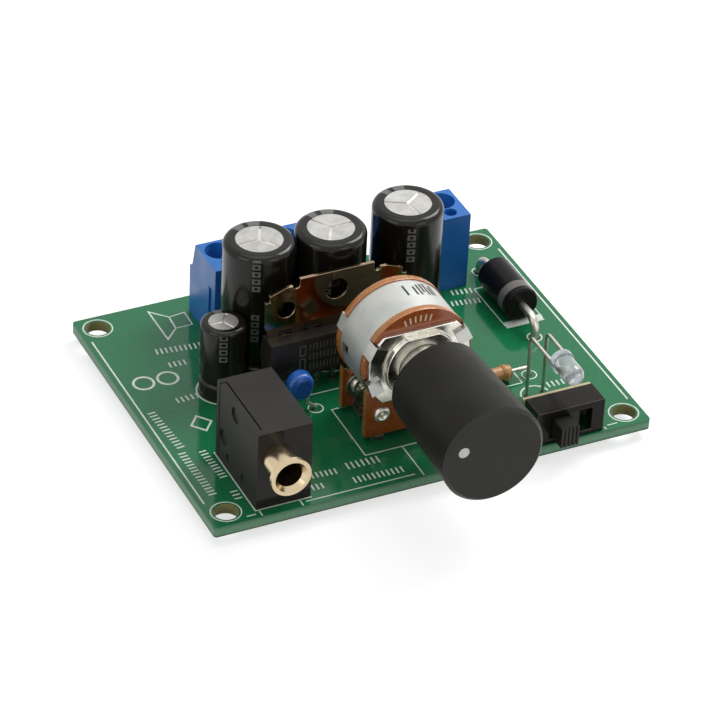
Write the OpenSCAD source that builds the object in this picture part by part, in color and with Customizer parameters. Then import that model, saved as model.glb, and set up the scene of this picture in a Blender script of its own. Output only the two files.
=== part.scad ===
// Small stereo power amplifier, built on one green circuit board: an amplifier chip with a bare
// fin, a two-gang volume potentiometer with its knob, an audio jack, a slide switch, three
// screw terminal blocks and the parts around them.
// Millimetres, Z up. The origin is the centre of the four mounting holes, on the underside of
// the board. The front edge, with the knob, the jack and the switch, faces -Y.

/* [Circuit board] */
// Width of the board, left to right
board_w = 66; // [65.5:0.5:70]
// Depth of the board, front to back
board_d = 51.5; // [51.5:0.5:56]
// Thickness of the board
board_t = 1.6; // [1.0:0.1:2.4]
// Radius of the board's corners
board_corner_r = 0.5; // [0.2:0.1:1.5]
// Distance from the board's edges to the centres of the mounting holes
hole_inset = 2.83; // [2.6:0.01:3.0]
// Diameter of the mounting holes
mounting_hole_d = 3.5; // [3.0:0.1:3.8]

/* [Solder joints] */
// How far the cut leads stand out below the board
lead_out = 1.2; // [0.8:0.1:1.8]
// Diameter of the solder at the board
solder_d = 2.2; // [1.9:0.1:2.3]
// Thickness of solder around and below a lead's cut end
solder_skin = 0.25; // [0.15:0.05:0.35]
// Room around a lead in its drilled hole
drill_room = 0.1; // [0.05:0.05:0.2]

/* [Electrolytic capacitors] */
// Diameter of a large capacitor over its sleeve
big_cap_d = 10.2; // [9.6:0.1:10.4]
// Height of a large capacitor
big_cap_h = 20.8; // [14:0.2:25]
// Diameter of the small capacitor over its sleeve
small_cap_d = 6.4; // [5:0.1:6.8]
// Height of the small capacitor
small_cap_h = 11.7; // [9:0.1:14]
// Thickness of the printed sleeve
sleeve_t = 0.15; // [0.1:0.05:0.25]
// Share of the diameter that the bare round top takes
vent_share = 0.66; // [0.55:0.01:0.75]
// Depth of the scored lines in the top
vent_depth = 0.15; // [0.05:0.05:0.3]
// Radius of the groove pressed into the can above its rubber bung
crimp_r = 0.7; // [0.5:0.1:0.9]

/* [Terminal blocks] */
// Distance between neighbouring poles
pole_pitch = 5.08; // [5:0.01:5.2]
// Height of a block
block_h = 12.4; // [12.2:0.1:13]
// Depth of a block at the board
block_d = 9; // [8.8:0.1:9.5]
// Depth of a block's top face
block_top_d = 7.2; // [7.1:0.1:7.6]
// Height of the step in the sloped back
block_step_h = 8; // [7.6:0.1:8.3]
// Diameter of the clamp screw's thread
clamp_screw_d = 2.5; // [2.4:0.1:2.6]
// Diameter of the clamp screw's head
screw_head_d = 3.6; // [3.3:0.1:3.7]
// Height of the clamp screw's head
screw_head_h = 1.4; // [1.1:0.1:1.6]
// How far the cage rises when the screw is tightened
cage_travel = 1.8; // [1.4:0.1:1.8]

/* [Amplifier chip] */
// How far the moulded body reaches past the outer pins' centres
chip_end = 0.64; // [0.5:0.02:0.8]
// Thickness of the moulded body
chip_d = 3.6; // [3.2:0.1:3.8]
// Height of the moulded body
chip_h = 6.1; // [5.8:0.1:6.6]
// Height of the body above the board
chip_lift = 3.1; // [2.4:0.1:3.6]
// Thickness of the fin
fin_t = 0.5; // [0.4:0.05:0.7]
// Height of the fin above the body
fin_h = 8.9; // [8.4:0.1:9.4]
// Distance between neighbouring pins
pin_pitch = 2.54; // [2.5:0.01:2.6]

/* [Potentiometer] */
// Height of the shaft's axis above the board
pot_axis_h = 12.1; // [11.9:0.1:13]
// Radius of the brown wafers
wafer_r = 8.15; // [8:0.05:8.3]
// Thickness of a wafer
wafer_t = 1.1; // [0.9:0.1:1.3]
// Length of the metal can between the two wafers
can_l = 6.5; // [6.2:0.1:6.8]
// Thickness of the can's sheet
can_t = 0.5; // [0.4:0.05:0.6]
// Thickness of the front plate
plate_t = 0.8; // [0.6:0.1:1]
// Length of the threaded bushing in front of the plate
bushing_l = 5; // [4:0.1:5.1]
// Diameter of the turning shaft
shaft_d = 6; // [5.8:0.1:6.2]
// Running clearance around the shaft
shaft_fit = 0.05; // [0.03:0.01:0.08]

/* [Volume knob] */
// Diameter of the knob at its back
knob_rear_d = 13.5; // [13:0.1:14]
// Diameter of the knob at its front
knob_front_d = 14.75; // [14.2:0.05:15.2]
// Length of the knob
knob_l = 17.4; // [16:0.1:18]
// Turn of the white dot from the right-hand side, seen from the front
dot_angle = 159; // [90:1:240]

/* [Audio jack] */
// Width of the jack's housing
jack_w = 8; // [7.8:0.1:8.2]
// Length of the jack's housing
jack_l = 13.75; // [13.4:0.05:14]
// Height of the jack's housing
jack_h = 12.3; // [12:0.1:12.6]
// Height of the plug hole above the board
jack_axis_h = 8; // [7.8:0.05:8.2]
// Distance of the plug hole from the middle of the housing, to the left
plug_offset = 1.18; // [1.1:0.01:1.24]
// Diameter of the hole for the plug
plug_hole_d = 3.65; // [3.6:0.05:3.7]
// Outer diameter of the barrel's flange
flange_d = 5.8; // [5.6:0.1:6.2]
// How far the barrel stands out of the housing
barrel_out = 4.8; // [4.4:0.1:5.2]

/* [Slide switch] */
// Width of the switch
switch_w = 10.46; // [10.3:0.02:10.8]
// Depth of the switch's case
switch_d = 4; // [3.95:0.05:4.2]
// Height of the switch
switch_h = 5.3; // [5.2:0.1:5.6]
// How far the lever slides
lever_travel = 3; // [2.6:0.1:3]
// Width of the lever
lever_w = 2.7; // [2.4:0.1:2.9]
// How far the lever stands out in front of the case
lever_out = 2.8; // [2.2:0.1:3.4]

/* [Indicator lamp] */
// Diameter of the lamp
lamp_d = 3; // [2.8:0.1:3.2]
// Height of the lamp's axis above the board
lamp_axis_h = 10; // [9:0.1:11]
// Length of the lamp with its rim
lamp_l = 5.3; // [4.8:0.1:5.6]

/* [Diode, resistor and ceramic capacitor] */
// Diameter of the diode's body
diode_d = 5.3; // [5:0.1:5.3]
// Length of the diode's body
diode_l = 9.1; // [8.6:0.1:9.6]
// Diameter of the resistor's rounded ends
resistor_d = 2.4; // [2.2:0.1:2.6]
// Length of the resistor's body
resistor_l = 6.3; // [5.8:0.1:6.6]
// Width of the ceramic capacitor's bead
bead_d = 3.7; // [3.6:0.1:4.1]
// Height of the ceramic capacitor's bead
bead_h = 4.3; // [4.1:0.1:4.8]
// Thickness of the ceramic capacitor's bead
bead_t = 2.5; // [2.2:0.1:2.7]

/* [Hidden] */

$fn = 48;
eps = 0.01;       // overrun of a cut past the face it opens
lead_fit = 0.02;  // room between a lead and the solder around it
tail = board_t + lead_out;    // length of a lead from the board's top face to its cut end

// Places on the board, seen from above
hole_x = board_w / 2 - hole_inset;
hole_y = board_d / 2 - hole_inset;
front_edge = -board_d / 2;
block_inset = 12.45;      // from the board's back edge to the fronts of the terminal blocks
block_front_y = board_d / 2 - block_inset;
fin_gap = 13.3;           // from there to the middle of the chip's fin
fin_y = block_front_y - fin_gap;
chip_back = 1.1;          // back face of the chip's body behind the middle of its fin

// Electrolytic capacitors: the middle can stands behind the chip, the left one beside it, and
// the small one next to the left one
big_pitch = 5;
small_pitch = 2.5;
big_lead_d = 0.6;
small_lead_d = 0.5;
cap_chip_gap = 0.15;
cap_gap = 0.25;
small_cap_gap = 0.15;
small_cap_bearing = 212.2;
cap_middle_x = -2.1;
cap_middle_y = fin_y + chip_back + cap_chip_gap + big_cap_d / 2;
cap_left_x = cap_middle_x - big_cap_d - cap_gap;
cap_left_back = 7.3;      // behind the fin
cap_left_y = fin_y + cap_left_back;
cap_right_x = 10.55;
cap_right_back = 8;
cap_right_y = fin_y + cap_right_back;
small_cap_reach = (big_cap_d + small_cap_d) / 2 + small_cap_gap;
cap_small_x = cap_left_x + small_cap_reach * cos(small_cap_bearing);
cap_small_y = cap_left_y + small_cap_reach * sin(small_cap_bearing);

// Centre, outer diameter, height, lead pitch, lead diameter and turn of the scored lines
CAP_LEFT = [cap_left_x, cap_left_y, big_cap_d, big_cap_h, big_pitch, big_lead_d, 64];
CAP_MIDDLE = [cap_middle_x, cap_middle_y, big_cap_d, big_cap_h, big_pitch, big_lead_d, 3];
CAP_RIGHT = [cap_right_x, cap_right_y, big_cap_d, big_cap_h, big_pitch, big_lead_d, 35];
CAP_SMALL = [cap_small_x, cap_small_y, small_cap_d, small_cap_h, small_pitch, small_lead_d, 55];
CAPS = [CAP_LEFT, CAP_MIDDLE, CAP_RIGHT, CAP_SMALL];
bung_h = 1.9;
bung_in = 0.45;           // room between the bung and the can
shoulder_share = 0.08;    // radius of the rounded top edge, as a share of the diameter
crimp_rise = 0.75;        // height of the groove's middle above the bung
crimp_h = bung_h + crimp_rise;
crimp_depth = 0.3;
score_w = 0.35;
SCORES = [0, 120, 240];   // angles between the scored lines

// Terminal blocks: left edges of the three two-pole blocks and the line of their front faces
poles = 2;
block_right_inset = 19.62;
block_spacing = 29.73;
right_block_x = board_w / 2 - block_right_inset;
left_block_x = right_block_x - block_spacing;
BLOCK_X = [left_block_x, left_block_x + poles * pole_pitch, right_block_x];
POLE_X = [for (x = BLOCK_X, i = [0 : poles - 1]) x + (i + 0.5) * pole_pitch];
block_step_d = 0.8;       // depth of the step in the back, and its fall to the rear
block_step_fall = 0.35;
screw_back = 1.1;         // screw axis behind the middle of the top face
screw_y = block_top_d / 2 + screw_back;
screw_well_room = 0.5;
screw_well_d = screw_head_d + screw_well_room;
slot_w = 0.6;             // slot in the screw's head
ledge_h = 0.6;            // ledge that the screw's head turns on
ledge_top = 7.9;
cage_w = 3.8;
cage_d = 3.6;
cage_room = 0.15;
cage_rest_z = 0.5;
cage_top_room = 0.2;      // left above the cage when it is all the way up
cage_h = ledge_top - ledge_h - cage_rest_z - cage_travel - cage_top_room;
cage_floor_t = 0.6;
cage_roof_t = 0.9;
cage_window_w = 2.7;
thread_fit = 0.05;
tongue_w = 2.4;
tongue_t = 0.6;
tongue_z = 3.4;
leg_y = 1.7;
leg_t = 0.7;
leg_room = 0.1;
contact_pin_w = 1;
entry_w = 3.4;
entry_z = 0.9;
entry_h = 2.9;
probe_hole_d = 1.9;
probe_y = 1.55;
groove_y = 1.3;
groove_w = 0.9;
groove_h = 8.6;
groove_depth = 0.45;
rib_depth = 0.3;

// Amplifier chip
chip_x = -4;
chip_draft = 0.25;
chip_pins = 9;
chip_w = (chip_pins - 1) * pin_pitch + 2 * chip_end;
chip_top = chip_lift + chip_h;
pin_t = 0.45;
pin_w = 0.65;
pin_shoulder_w = 1.3;
pin_shoulder_z = 1.5;
mark_r = 1.3;             // half-moon mark at the first pin: radius, flat top and place
mark_top = 0.6;
mark_in = 2.2;
mark_z = 2.4;
mark_depth = 0.35;
fin_root = 1;             // depth of the fin inside the body
fin_end_gap = 0.1;
fin_half_w = chip_w / 2 - fin_end_gap;
fin_top_half_w = 5.65;
fin_notch_r = 0.5;        // round notches beside the raised middle of the top edge
FIN_FOOT = [[0.45, 0.4], [0, 1.7]];    // in from the fin's ends, up from the body
FIN_SHOULDER = [[0, 2.9], [0.65, 2.9], [0.65, 1.9], [3.1, 1]];    // in from the ends, down from the top
FIN_WINDOWS = [[-8.6, 2], [-4.75, 2.5], [2.25, 2.5], [6.6, 2]];   // left edge and width
fin_window_h = 0.9;
fin_hole_d = 3.3;
fin_hole_z = 5.9;
fin_side_hole_d = 2.65;
fin_side_hole_x = 7.6;
fin_side_hole_z = 4.25;

// Potentiometer: places along its axis, as distances in front of the rear face
pot_x = 1;
pot_gap = 7.1;            // from the middle of the chip's fin to the rear face
pot_rear_y = fin_y - pot_gap;
rear_wafer_z = 0;
can_z = rear_wafer_z + wafer_t;
front_wafer_z = can_z + can_l;
plate_z = front_wafer_z + wafer_t;
boss_z = plate_z + plate_t;
bushing_end_z = boss_z + bushing_l;
shaft_z = rear_wafer_z + 0.3;     // rear end of the shaft, inside the rear wafer
bushing_wall = 0.5;
bushing_r = shaft_d / 2 + bushing_wall;
wafer_hole_room = 0.7;
wafer_hole_r = shaft_d / 2 + wafer_hole_room;
wafer_tail_w = 14.7;
wafer_tail_gap = 0.75;    // gap below the wafer's straight tail
wafer_tail_top = 3;       // the tail starts this far below the axis
wafer_rim = 0.15;         // how far the wafers stand out of the can
can_r = wafer_r - wafer_rim;
can_flat = 5.6;           // the can is open below this depth under the axis
can_slot_l = 1.9;         // slots in the can's sides, in front of the rear wafer
can_slot_w = 2;
can_slot_z = 0.5;
CAN_SLOTS = [183, -3];
plate_in = 0.35;
plate_r = can_r - plate_in;
plate_chord = 5.4;
boss_r = 5.3;
boss_chord = 4.75;
boss_h = 0.9;
tab_w = 2.3;
tab_in = 1.9;             // how far the folded tabs reach in from the rim
tab_in_r = can_r - tab_in;
TAB_ANGLES = [156, 26, 199, -17];
REAR_TAB_ANGLES = [160, 20, 215, -35];
notch_room = 0.15;
pot_pin_pitch = 5;
rivet_drop = 7.87;        // rivets below the shaft's axis
rivet_head_r = 1.25;
rivet_shank_r = 0.8;
rivet_head_h = 0.45;
rivet_hollow = 0.2;       // depth of the hollow below the head
lug_r = 1.9;
lug_t = 0.4;
lug_neck = 0.3;           // between the rivet and the lug's leg
leg_w = 1.4;
joggle_z = 0.15;
joggle_h = 0.4;
front_joggle = 0.3;       // the front pins stand behind the plate by this, the rear ones
rear_joggle = 1.9;        // in front of their lugs by this
front_pin_y = pot_rear_y - plate_z + front_joggle;
rear_pin_y = pot_rear_y - can_z - lug_t - rear_joggle;
pot_pin_w = 0.9;
rotor_r = 5.6;
rotor_t = 1.6;
rotor_gap = 0.7;
shaft_in_knob = 12.5;
cover_r = 5.2;
cover_t = 0.5;
cover_dome_t = 0.3;

// Volume knob
knob_gap = 0.4;           // gap between the bushing and the knob
knob_rear_z = bushing_end_z + knob_gap;
knob_wall = 1.4;
knob_hub_wall = 1.3;
knob_hub_r = shaft_d / 2 + knob_hub_wall;
knob_hub_recess = 0.8;
knob_face_t = 2;
knob_bevel = 0.5;
knob_bore_room = 0.4;
knob_bore_l = shaft_in_knob + knob_bore_room;
dot_r = 0.8;
dot_place_r = 4.9;
dot_depth = 0.15;

// Audio jack
jack_inset = 10.73;
jack_setback = 1.7;
jack_x = -board_w / 2 + jack_inset;
jack_front_y = front_edge + jack_setback;
plug_x = jack_x - plug_offset;
neck_r = 2.22;
barrel_in = 3.6;
flange_t = 0.65;
mouth_r = 2.35;
jack_bore_r = 2;
jack_back_wall = 1.35;
side_cover_t = 1.05;
side_cover_front = 1.15;
side_cover_back = 0.9;
seam = 0.2;
seam_depth = 0.8;
dimple_r = 1.2;
dimple_depth = 0.3;
DIMPLES = [[6.4, 1.8], [10.1, 7.9]];    // behind the cover's front end, below its top
cover_slot_w = 0.4;
cover_slot_h = 1.2;
cover_slot_z = 1.4;
COVER_SLOTS = [3.5, 8.4];
contact_t = 0.4;
contact_w = 2.4;
contact_room = 0.1;
contact_rise = 2.3;       // how far the contacts reach above the plug's axis
contact_h = jack_axis_h + contact_rise;
contact_bump_r = 0.55;
contact_x = jack_bore_r - contact_room;   // inner faces of the contacts, right of the axis
jack_pin_w = 1.2;
tip_back = 2.85;          // tip contact from the housing's back, ring contact before it
ring_gap = 4;
tip_y = jack_l - tip_back;
ring_y = tip_y - ring_gap;
tag_y = 2;
tag_t = 0.5;
tag_w = 2;

// Slide switch
switch_inset = 12.62;
switch_setback = 0.35;
switch_x = board_w / 2 - switch_inset;
switch_front_y = front_edge + switch_setback;
switch_wall = 0.5;
slot_half_w = 3.3;
slot_z = 0.7;
slot_above = 1.05;
slot_h = switch_h - slot_z - slot_above;
base_t = 0.8;
base_foot = 0.2;
base_below = 0.3;         // the base ends this far below the case's top
switch_pin_pitch = 2.5;
blade_w = 1.4;
blade_t = 0.4;
blade_room = 0.5;
blade_h = switch_h - switch_wall - blade_room;
hook_y = 1.9;
hook_t = 0.3;
hook_drop = 1.1;
switch_pin_w = 0.7;
skirt_room = 0.1;
skirt_t = 0.6;
skirt_z = 0.3;
skirt_h = switch_h - switch_wall - skirt_z - 2 * skirt_room;
lever_room = 0.2;
lever_z = slot_z + lever_room;
lever_h = slot_h - 2 * lever_room;
lever_grooves = 4;
lever_groove_w = 0.25;
lever_groove_depth = 0.2;
carrier_w = 3.8;
carrier_h = 2;
carrier_t = 0.5;
carrier_z = 0.7;
bridge_t = 0.3;
bridge_in = 0.2;          // the bridge strip is set in from the carrier's edges
prong_w = 0.5;
prong_h = 1;
prong_room = 0.1;
lever_rest_x = -lever_travel / 2;

// Indicator lamp
lamp_offset = 0.28;
lamp_lead_back = 11.55;   // behind the board's front edge
lamp_rear_back = 5.15;
lamp_x = switch_x + lamp_offset;
lamp_lead_y = front_edge + lamp_lead_back;
lamp_rear_y = front_edge + lamp_rear_back;
lamp_pitch = 2.54;
lamp_lead_d = 0.5;
lamp_rim_w = 0.25;
lamp_rim_d = lamp_d + 2 * lamp_rim_w;
lamp_rim_t = 1;
lamp_bend_r = 0.9;
lamp_lead_in = 1.6;       // length of the leads inside the lens

// Diode, lying front to back
diode_inset = 6.1;
diode_back = 6.85;        // behind the chip's fin
diode_x = board_w / 2 - diode_inset;
diode_y = fin_y + diode_back;
diode_pitch = 17.78;
diode_lift = 0.1;
diode_axis_h = diode_d / 2 + diode_lift;
diode_lead_d = 1.25;
diode_bend_r = 2;
diode_bevel = 0.25;

// Resistor, lying left to right
resistor_x = 15.65;
resistor_front = 9.95;    // in front of the chip's fin
resistor_y = fin_y - resistor_front;
resistor_pitch = 12.7;
resistor_lift = 0.2;
resistor_axis_h = resistor_d / 2 + resistor_lift;
resistor_end_share = 0.7; // length of a rounded end, as a share of its diameter
resistor_lead_d = 0.56;
resistor_bend_r = 0.9;
resistor_waist_in = 0.2;
resistor_waist_r = resistor_d / 2 - resistor_waist_in;

// Ceramic capacitor, held up by its splayed leads
bead_x = -11.84;
bead_front = 6.05;        // in front of the chip's fin
bead_y = fin_y - bead_front;
bead_lift = 2.5;
bead_pitch = 5.08;
bead_lead_gap = 2.5;
bead_lead_d = 0.5;
bead_kink_h = 1.35;       // height of the outward kink in the leads
bead_foot_h = 0.3;
bead_edge_r = 0.9;
bead_foot_in = 0.15;      // how much smaller the radius is at the bead's foot
bead_foot_r = bead_d / 2 - bead_foot_in;
bead_lead_in = 1.4;       // length of the leads inside the bead

// Every lead that passes through the board: x, y and the diameter that holds it
function across(w, t) = sqrt(w * w + t * t);
CAP_LEADS = [for (c = CAPS, s = [-1, 1]) [c[0] + s * c[4] / 2, c[1], c[5]]];
BLOCK_LEADS = [for (x = POLE_X) [x, block_front_y + leg_y + leg_t / 2, across(contact_pin_w, leg_t)]];
CHIP_LEADS = [for (i = [0 : chip_pins - 1])
    [chip_x + (i - (chip_pins - 1) / 2) * pin_pitch, fin_y, across(pin_w, pin_t)]];
POT_LEADS = [for (y = [front_pin_y, rear_pin_y], i = [-1 : 1])
    [pot_x + i * pot_pin_pitch, y, across(pot_pin_w, lug_t)]];
TAG_LEAD = [plug_x, jack_front_y + tag_y + tag_t / 2, across(jack_pin_w, tag_t)];
CONTACT_LEADS = [for (y = [tip_y, ring_y])
    [plug_x + contact_x + contact_t / 2, jack_front_y + y, across(jack_pin_w, contact_t)]];
SWITCH_LEADS = [for (i = [-1 : 1])
    [switch_x + i * switch_pin_pitch, switch_front_y + switch_d - blade_t / 2, across(switch_pin_w, blade_t)]];
LAMP_LEADS = [for (s = [-1, 1]) [lamp_x + s * lamp_pitch / 2, lamp_lead_y, lamp_lead_d]];
DIODE_LEADS = [for (s = [-1, 1]) [diode_x, diode_y + s * diode_pitch / 2, diode_lead_d]];
RESISTOR_LEADS = [for (s = [-1, 1]) [resistor_x + s * resistor_pitch / 2, resistor_y, resistor_lead_d]];
BEAD_LEADS = [for (s = [-1, 1]) [bead_x + s * bead_pitch / 2, bead_y, bead_lead_d]];
LEADS = concat(CAP_LEADS, BLOCK_LEADS, CHIP_LEADS, POT_LEADS, [TAG_LEAD], CONTACT_LEADS,
               SWITCH_LEADS, LAMP_LEADS, DIODE_LEADS, RESISTOR_LEADS, BEAD_LEADS);

// Shared shapes

// Moves a shape from the board's top face to its place on the board
module on_board(x, y) {
    translate([x, y, board_t])
        children();
}

// Lays a shape drawn along Z so that it runs towards the front
module to_front() {
    rotate([90, 0, 0])
        children();
}

// A block that is centred left to right
module middle_block(w, d, h) {
    translate([-w / 2, 0, 0])
        cube([w, d, h]);
}

// A quarter ring of round wire, from the right of its centre to the top of it
module wire_bend(bend_r, d) {
    rotate([90, 0, 0])
        rotate_extrude(angle = 90)
            translate([bend_r, 0])
                circle(d = d);
}

// Wire leads at both ends of a body that lies along X, bent down through the board
module axial_leads(pitch, body_l, axis_h, bend_r, d) {
    for (side = [0, 1])
        mirror([side, 0, 0]) {
            translate([body_l / 2, 0, axis_h])
                rotate([0, 90, 0])
                    cylinder(d = d, h = (pitch - body_l) / 2 - bend_r);
            translate([pitch / 2 - bend_r, 0, axis_h - bend_r])
                wire_bend(bend_r, d);
            translate([pitch / 2, 0, -tail])
                cylinder(d = d, h = tail + axis_h - bend_r);
        }
}

// Circuit board and solder

module circuit_board() {
    color("seagreen")
        difference() {
            linear_extrude(board_t)
                difference() {
                    union() {
                        square([board_w - 2 * board_corner_r, board_d], center = true);
                        square([board_w, board_d - 2 * board_corner_r], center = true);
                        for (sx = [-1, 1], sy = [-1, 1])
                            translate([sx * (board_w / 2 - board_corner_r),
                                       sy * (board_d / 2 - board_corner_r)])
                                circle(r = board_corner_r);
                    }
                    for (sx = [-1, 1], sy = [-1, 1])
                        translate([sx * hole_x, sy * hole_y])
                            circle(d = mounting_hole_d);
                    for (lead = LEADS)
                        translate([lead[0], lead[1]])
                            circle(d = lead[2] + 2 * drill_room, $fn = 24);
                }
        }
}

// One joint: a collar around the cut lead, flared where it wets the board
module solder_joint(lead_d) {
    collar_r = lead_d / 2 + solder_skin;
    flare_r = solder_d / 2 - collar_r;
    difference() {
        rotate_extrude($fn = 24)
            difference() {
                union() {
                    translate([0, -lead_out - solder_skin])
                        square([collar_r, lead_out + solder_skin]);
                    translate([0, -flare_r])
                        square([collar_r + flare_r, flare_r]);
                }
                translate([collar_r + flare_r, -flare_r])
                    circle(r = flare_r, $fn = 24);
            }
        translate([0, 0, -lead_out - lead_fit])
            cylinder(d = lead_d + 2 * lead_fit, h = lead_out + lead_fit + eps, $fn = 24);
    }
}

module solder_joints() {
    color("silver")
        for (lead = LEADS)
            translate([lead[0], lead[1], 0])
                solder_joint(lead[2]);
}

// Electrolytic capacitors

// Half outline of a can: a rounded top edge and a groove pressed in above the bung
module can_outline(d, h, skin) {
    round_r = shoulder_share * d + skin;
    difference() {
        union() {
            square([d / 2 + skin, h - shoulder_share * d]);
            square([d / 2 - shoulder_share * d, h + skin]);
            translate([d / 2 - shoulder_share * d, h - shoulder_share * d])
                intersection() {
                    circle(r = round_r);
                    square(round_r);
                }
        }
        translate([d / 2 + crimp_r - crimp_depth, crimp_h])
            circle(r = crimp_r - skin);
    }
}

module capacitor_can(c) {
    d = c[2] - 2 * sleeve_t;
    on_board(c[0], c[1])
        color("gainsboro")
            difference() {
                rotate_extrude()
                    difference() {
                        can_outline(d, c[3] - sleeve_t, 0);
                        translate([0, -eps])
                            square([d / 2 - bung_in, bung_h + eps]);
                    }
                for (a = SCORES)
                    rotate([0, 0, a + c[6]])
                        translate([0, -score_w / 2, c[3] - sleeve_t - vent_depth])
                            cube([c[2] * vent_share / 2, score_w, vent_depth + eps]);
            }
}

module capacitor_sleeve(c) {
    d = c[2] - 2 * sleeve_t;
    on_board(c[0], c[1])
        color("black")
            rotate_extrude()
                difference() {
                    can_outline(d, c[3] - sleeve_t, sleeve_t);
                    can_outline(d, c[3] - sleeve_t, 0);
                    square([c[2] * vent_share / 2, c[3] + eps]);
                }
}

module capacitor_bungs() {
    color("dimgray")
        for (c = CAPS)
            on_board(c[0], c[1])
                difference() {
                    cylinder(r = c[2] / 2 - sleeve_t - bung_in, h = bung_h);
                    for (s = [-1, 1])
                        translate([s * c[4] / 2, 0, -eps])
                            cylinder(d = c[5], h = bung_h + 2 * eps, $fn = 24);
                }
}

module capacitor_leads() {
    color("silver")
        for (c = CAPS, s = [-1, 1])
            on_board(c[0] + s * c[4] / 2, c[1])
                translate([0, 0, -tail])
                    cylinder(d = c[5], h = tail + bung_h, $fn = 24);
}

// Terminal blocks

// Side view of a block: upright front, stepped and sloped back
module block_side_view() {
    polygon([[0, 0],
             [block_d, 0],
             [block_d, block_step_h],
             [block_d - block_step_d, block_step_h + block_step_fall],
             [block_top_d, block_h],
             [0, block_h]]);
}

// The hollows of one pole: screw well, ledge hole, cage shaft, contact channel, wire entry
// and the small hole for a test probe
module pole_hollows() {
    hollow_w = cage_w + 2 * cage_room;
    hollow_d = cage_d + 2 * cage_room;
    translate([0, screw_y, ledge_top])
        cylinder(d = screw_well_d, h = block_h - ledge_top + eps);
    translate([0, screw_y, ledge_top - ledge_h - eps])
        cylinder(d = clamp_screw_d + 4 * thread_fit, h = ledge_h + 2 * eps);
    translate([0, screw_y - hollow_d / 2, -eps])
        middle_block(hollow_w, hollow_d, ledge_top - ledge_h + eps);
    translate([0, leg_y - leg_room, -eps])
        middle_block(tongue_w + 2 * leg_room, screw_y - leg_y, tongue_z + tongue_t + leg_room + eps);
    translate([0, screw_y, entry_z])
        middle_block(entry_w, block_d - screw_y + eps, entry_h);
    translate([0, probe_y, tongue_z + tongue_t])
        cylinder(d = probe_hole_d, h = block_h);
}

module terminal_block(x) {
    on_board(x, block_front_y)
        color("royalblue")
            difference() {
                union() {
                    rotate([90, 0, 90])
                        linear_extrude(poles * pole_pitch)
                            block_side_view();
                    translate([poles * pole_pitch - eps, groove_y + (groove_w - rib_depth) / 2, 0])
                        cube([rib_depth + eps, rib_depth, groove_h - rib_depth]);
                }
                translate([-eps, groove_y, -eps])
                    cube([groove_depth + eps, groove_w, groove_h]);
                for (i = [0 : poles - 1])
                    translate([(i + 0.5) * pole_pitch, 0, 0])
                        pole_hollows();
            }
}

// A captive screw: slotted head on the ledge, thread down to just above the contact
module clamp_screw(x) {
    tip_z = tongue_z + tongue_t + leg_room;
    on_board(x, block_front_y + screw_y)
        color("lightsteelblue")
            difference() {
                union() {
                    translate([0, 0, ledge_top])
                        cylinder(d = screw_head_d, h = screw_head_h);
                    translate([0, 0, tip_z])
                        cylinder(d = clamp_screw_d, h = ledge_top - tip_z + eps);
                }
                translate([-screw_head_d, -slot_w / 2, ledge_top + screw_head_h / 2])
                    cube([2 * screw_head_d, slot_w, screw_head_h]);
            }
}

// A square loop that the screw draws up against the contact
module clamp_cage(x) {
    on_board(x, block_front_y + screw_y)
        color("gold")
            translate([0, 0, cage_rest_z])
                difference() {
                    translate([0, -cage_d / 2, 0])
                        middle_block(cage_w, cage_d, cage_h);
                    translate([0, -cage_d / 2 - eps, cage_floor_t])
                        middle_block(cage_window_w, cage_d + 2 * eps,
                                     cage_h - cage_floor_t - cage_roof_t);
                    cylinder(d = clamp_screw_d + 2 * thread_fit, h = cage_h + eps);
                }
}

// The contact of one pole: a tongue through the cage and a leg down into the board
module terminal_contact() {
    tongue_l = screw_y + cage_d / 2 - leg_y;
    translate([0, leg_y, tongue_z])
        middle_block(tongue_w, tongue_l, tongue_t);
    translate([0, leg_y, 0])
        middle_block(tongue_w, leg_t, tongue_z + eps);
    translate([0, leg_y, -tail])
        middle_block(contact_pin_w, leg_t, tail + eps);
}

module terminal_contacts() {
    color("silver")
        for (x = POLE_X)
            on_board(x, block_front_y)
                terminal_contact();
}

// Amplifier chip

// Outline of the fin, seen from the front: a stepped sheet with a round hole in the middle, one
// at each side and four windows along the body
module fin_outline() {
    shoulder_z = fin_h - FIN_SHOULDER[3].y;
    edge = concat([[fin_half_w - FIN_FOOT[0].x, -fin_root]],
                  [for (p = FIN_FOOT) [fin_half_w - p.x, p.y]],
                  [for (p = FIN_SHOULDER) [fin_half_w - p.x, fin_h - p.y]],
                  [[fin_top_half_w, shoulder_z], [fin_top_half_w, fin_h]]);
    difference() {
        polygon(concat(edge, [for (i = [len(edge) - 1 : -1 : 0]) [-edge[i].x, edge[i].y]]));
        for (side = [0, 1])
            mirror([side, 0]) {
                translate([fin_top_half_w + fin_notch_r, shoulder_z])
                    circle(r = fin_notch_r, $fn = 24);
                translate([fin_side_hole_x, fin_side_hole_z])
                    circle(d = fin_side_hole_d);
            }
        translate([0, fin_hole_z])
            circle(d = fin_hole_d);
        for (w = FIN_WINDOWS)
            translate([w[0], 0])
                square([w[1], fin_window_h]);
    }
}

module fin_plate(t) {
    translate([chip_x, fin_y + t / 2, board_t + chip_top])
        to_front()
            linear_extrude(t)
                fin_outline();
}

// Side view of the moulded body: from its middle height both halves taper a little
module tapered(from, to) {
    polygon([[from + chip_draft, chip_lift],
             [to - chip_draft, chip_lift],
             [to, chip_lift + chip_h / 2],
             [to - chip_draft, chip_top],
             [from + chip_draft, chip_top],
             [from, chip_lift + chip_h / 2]]);
}

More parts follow.
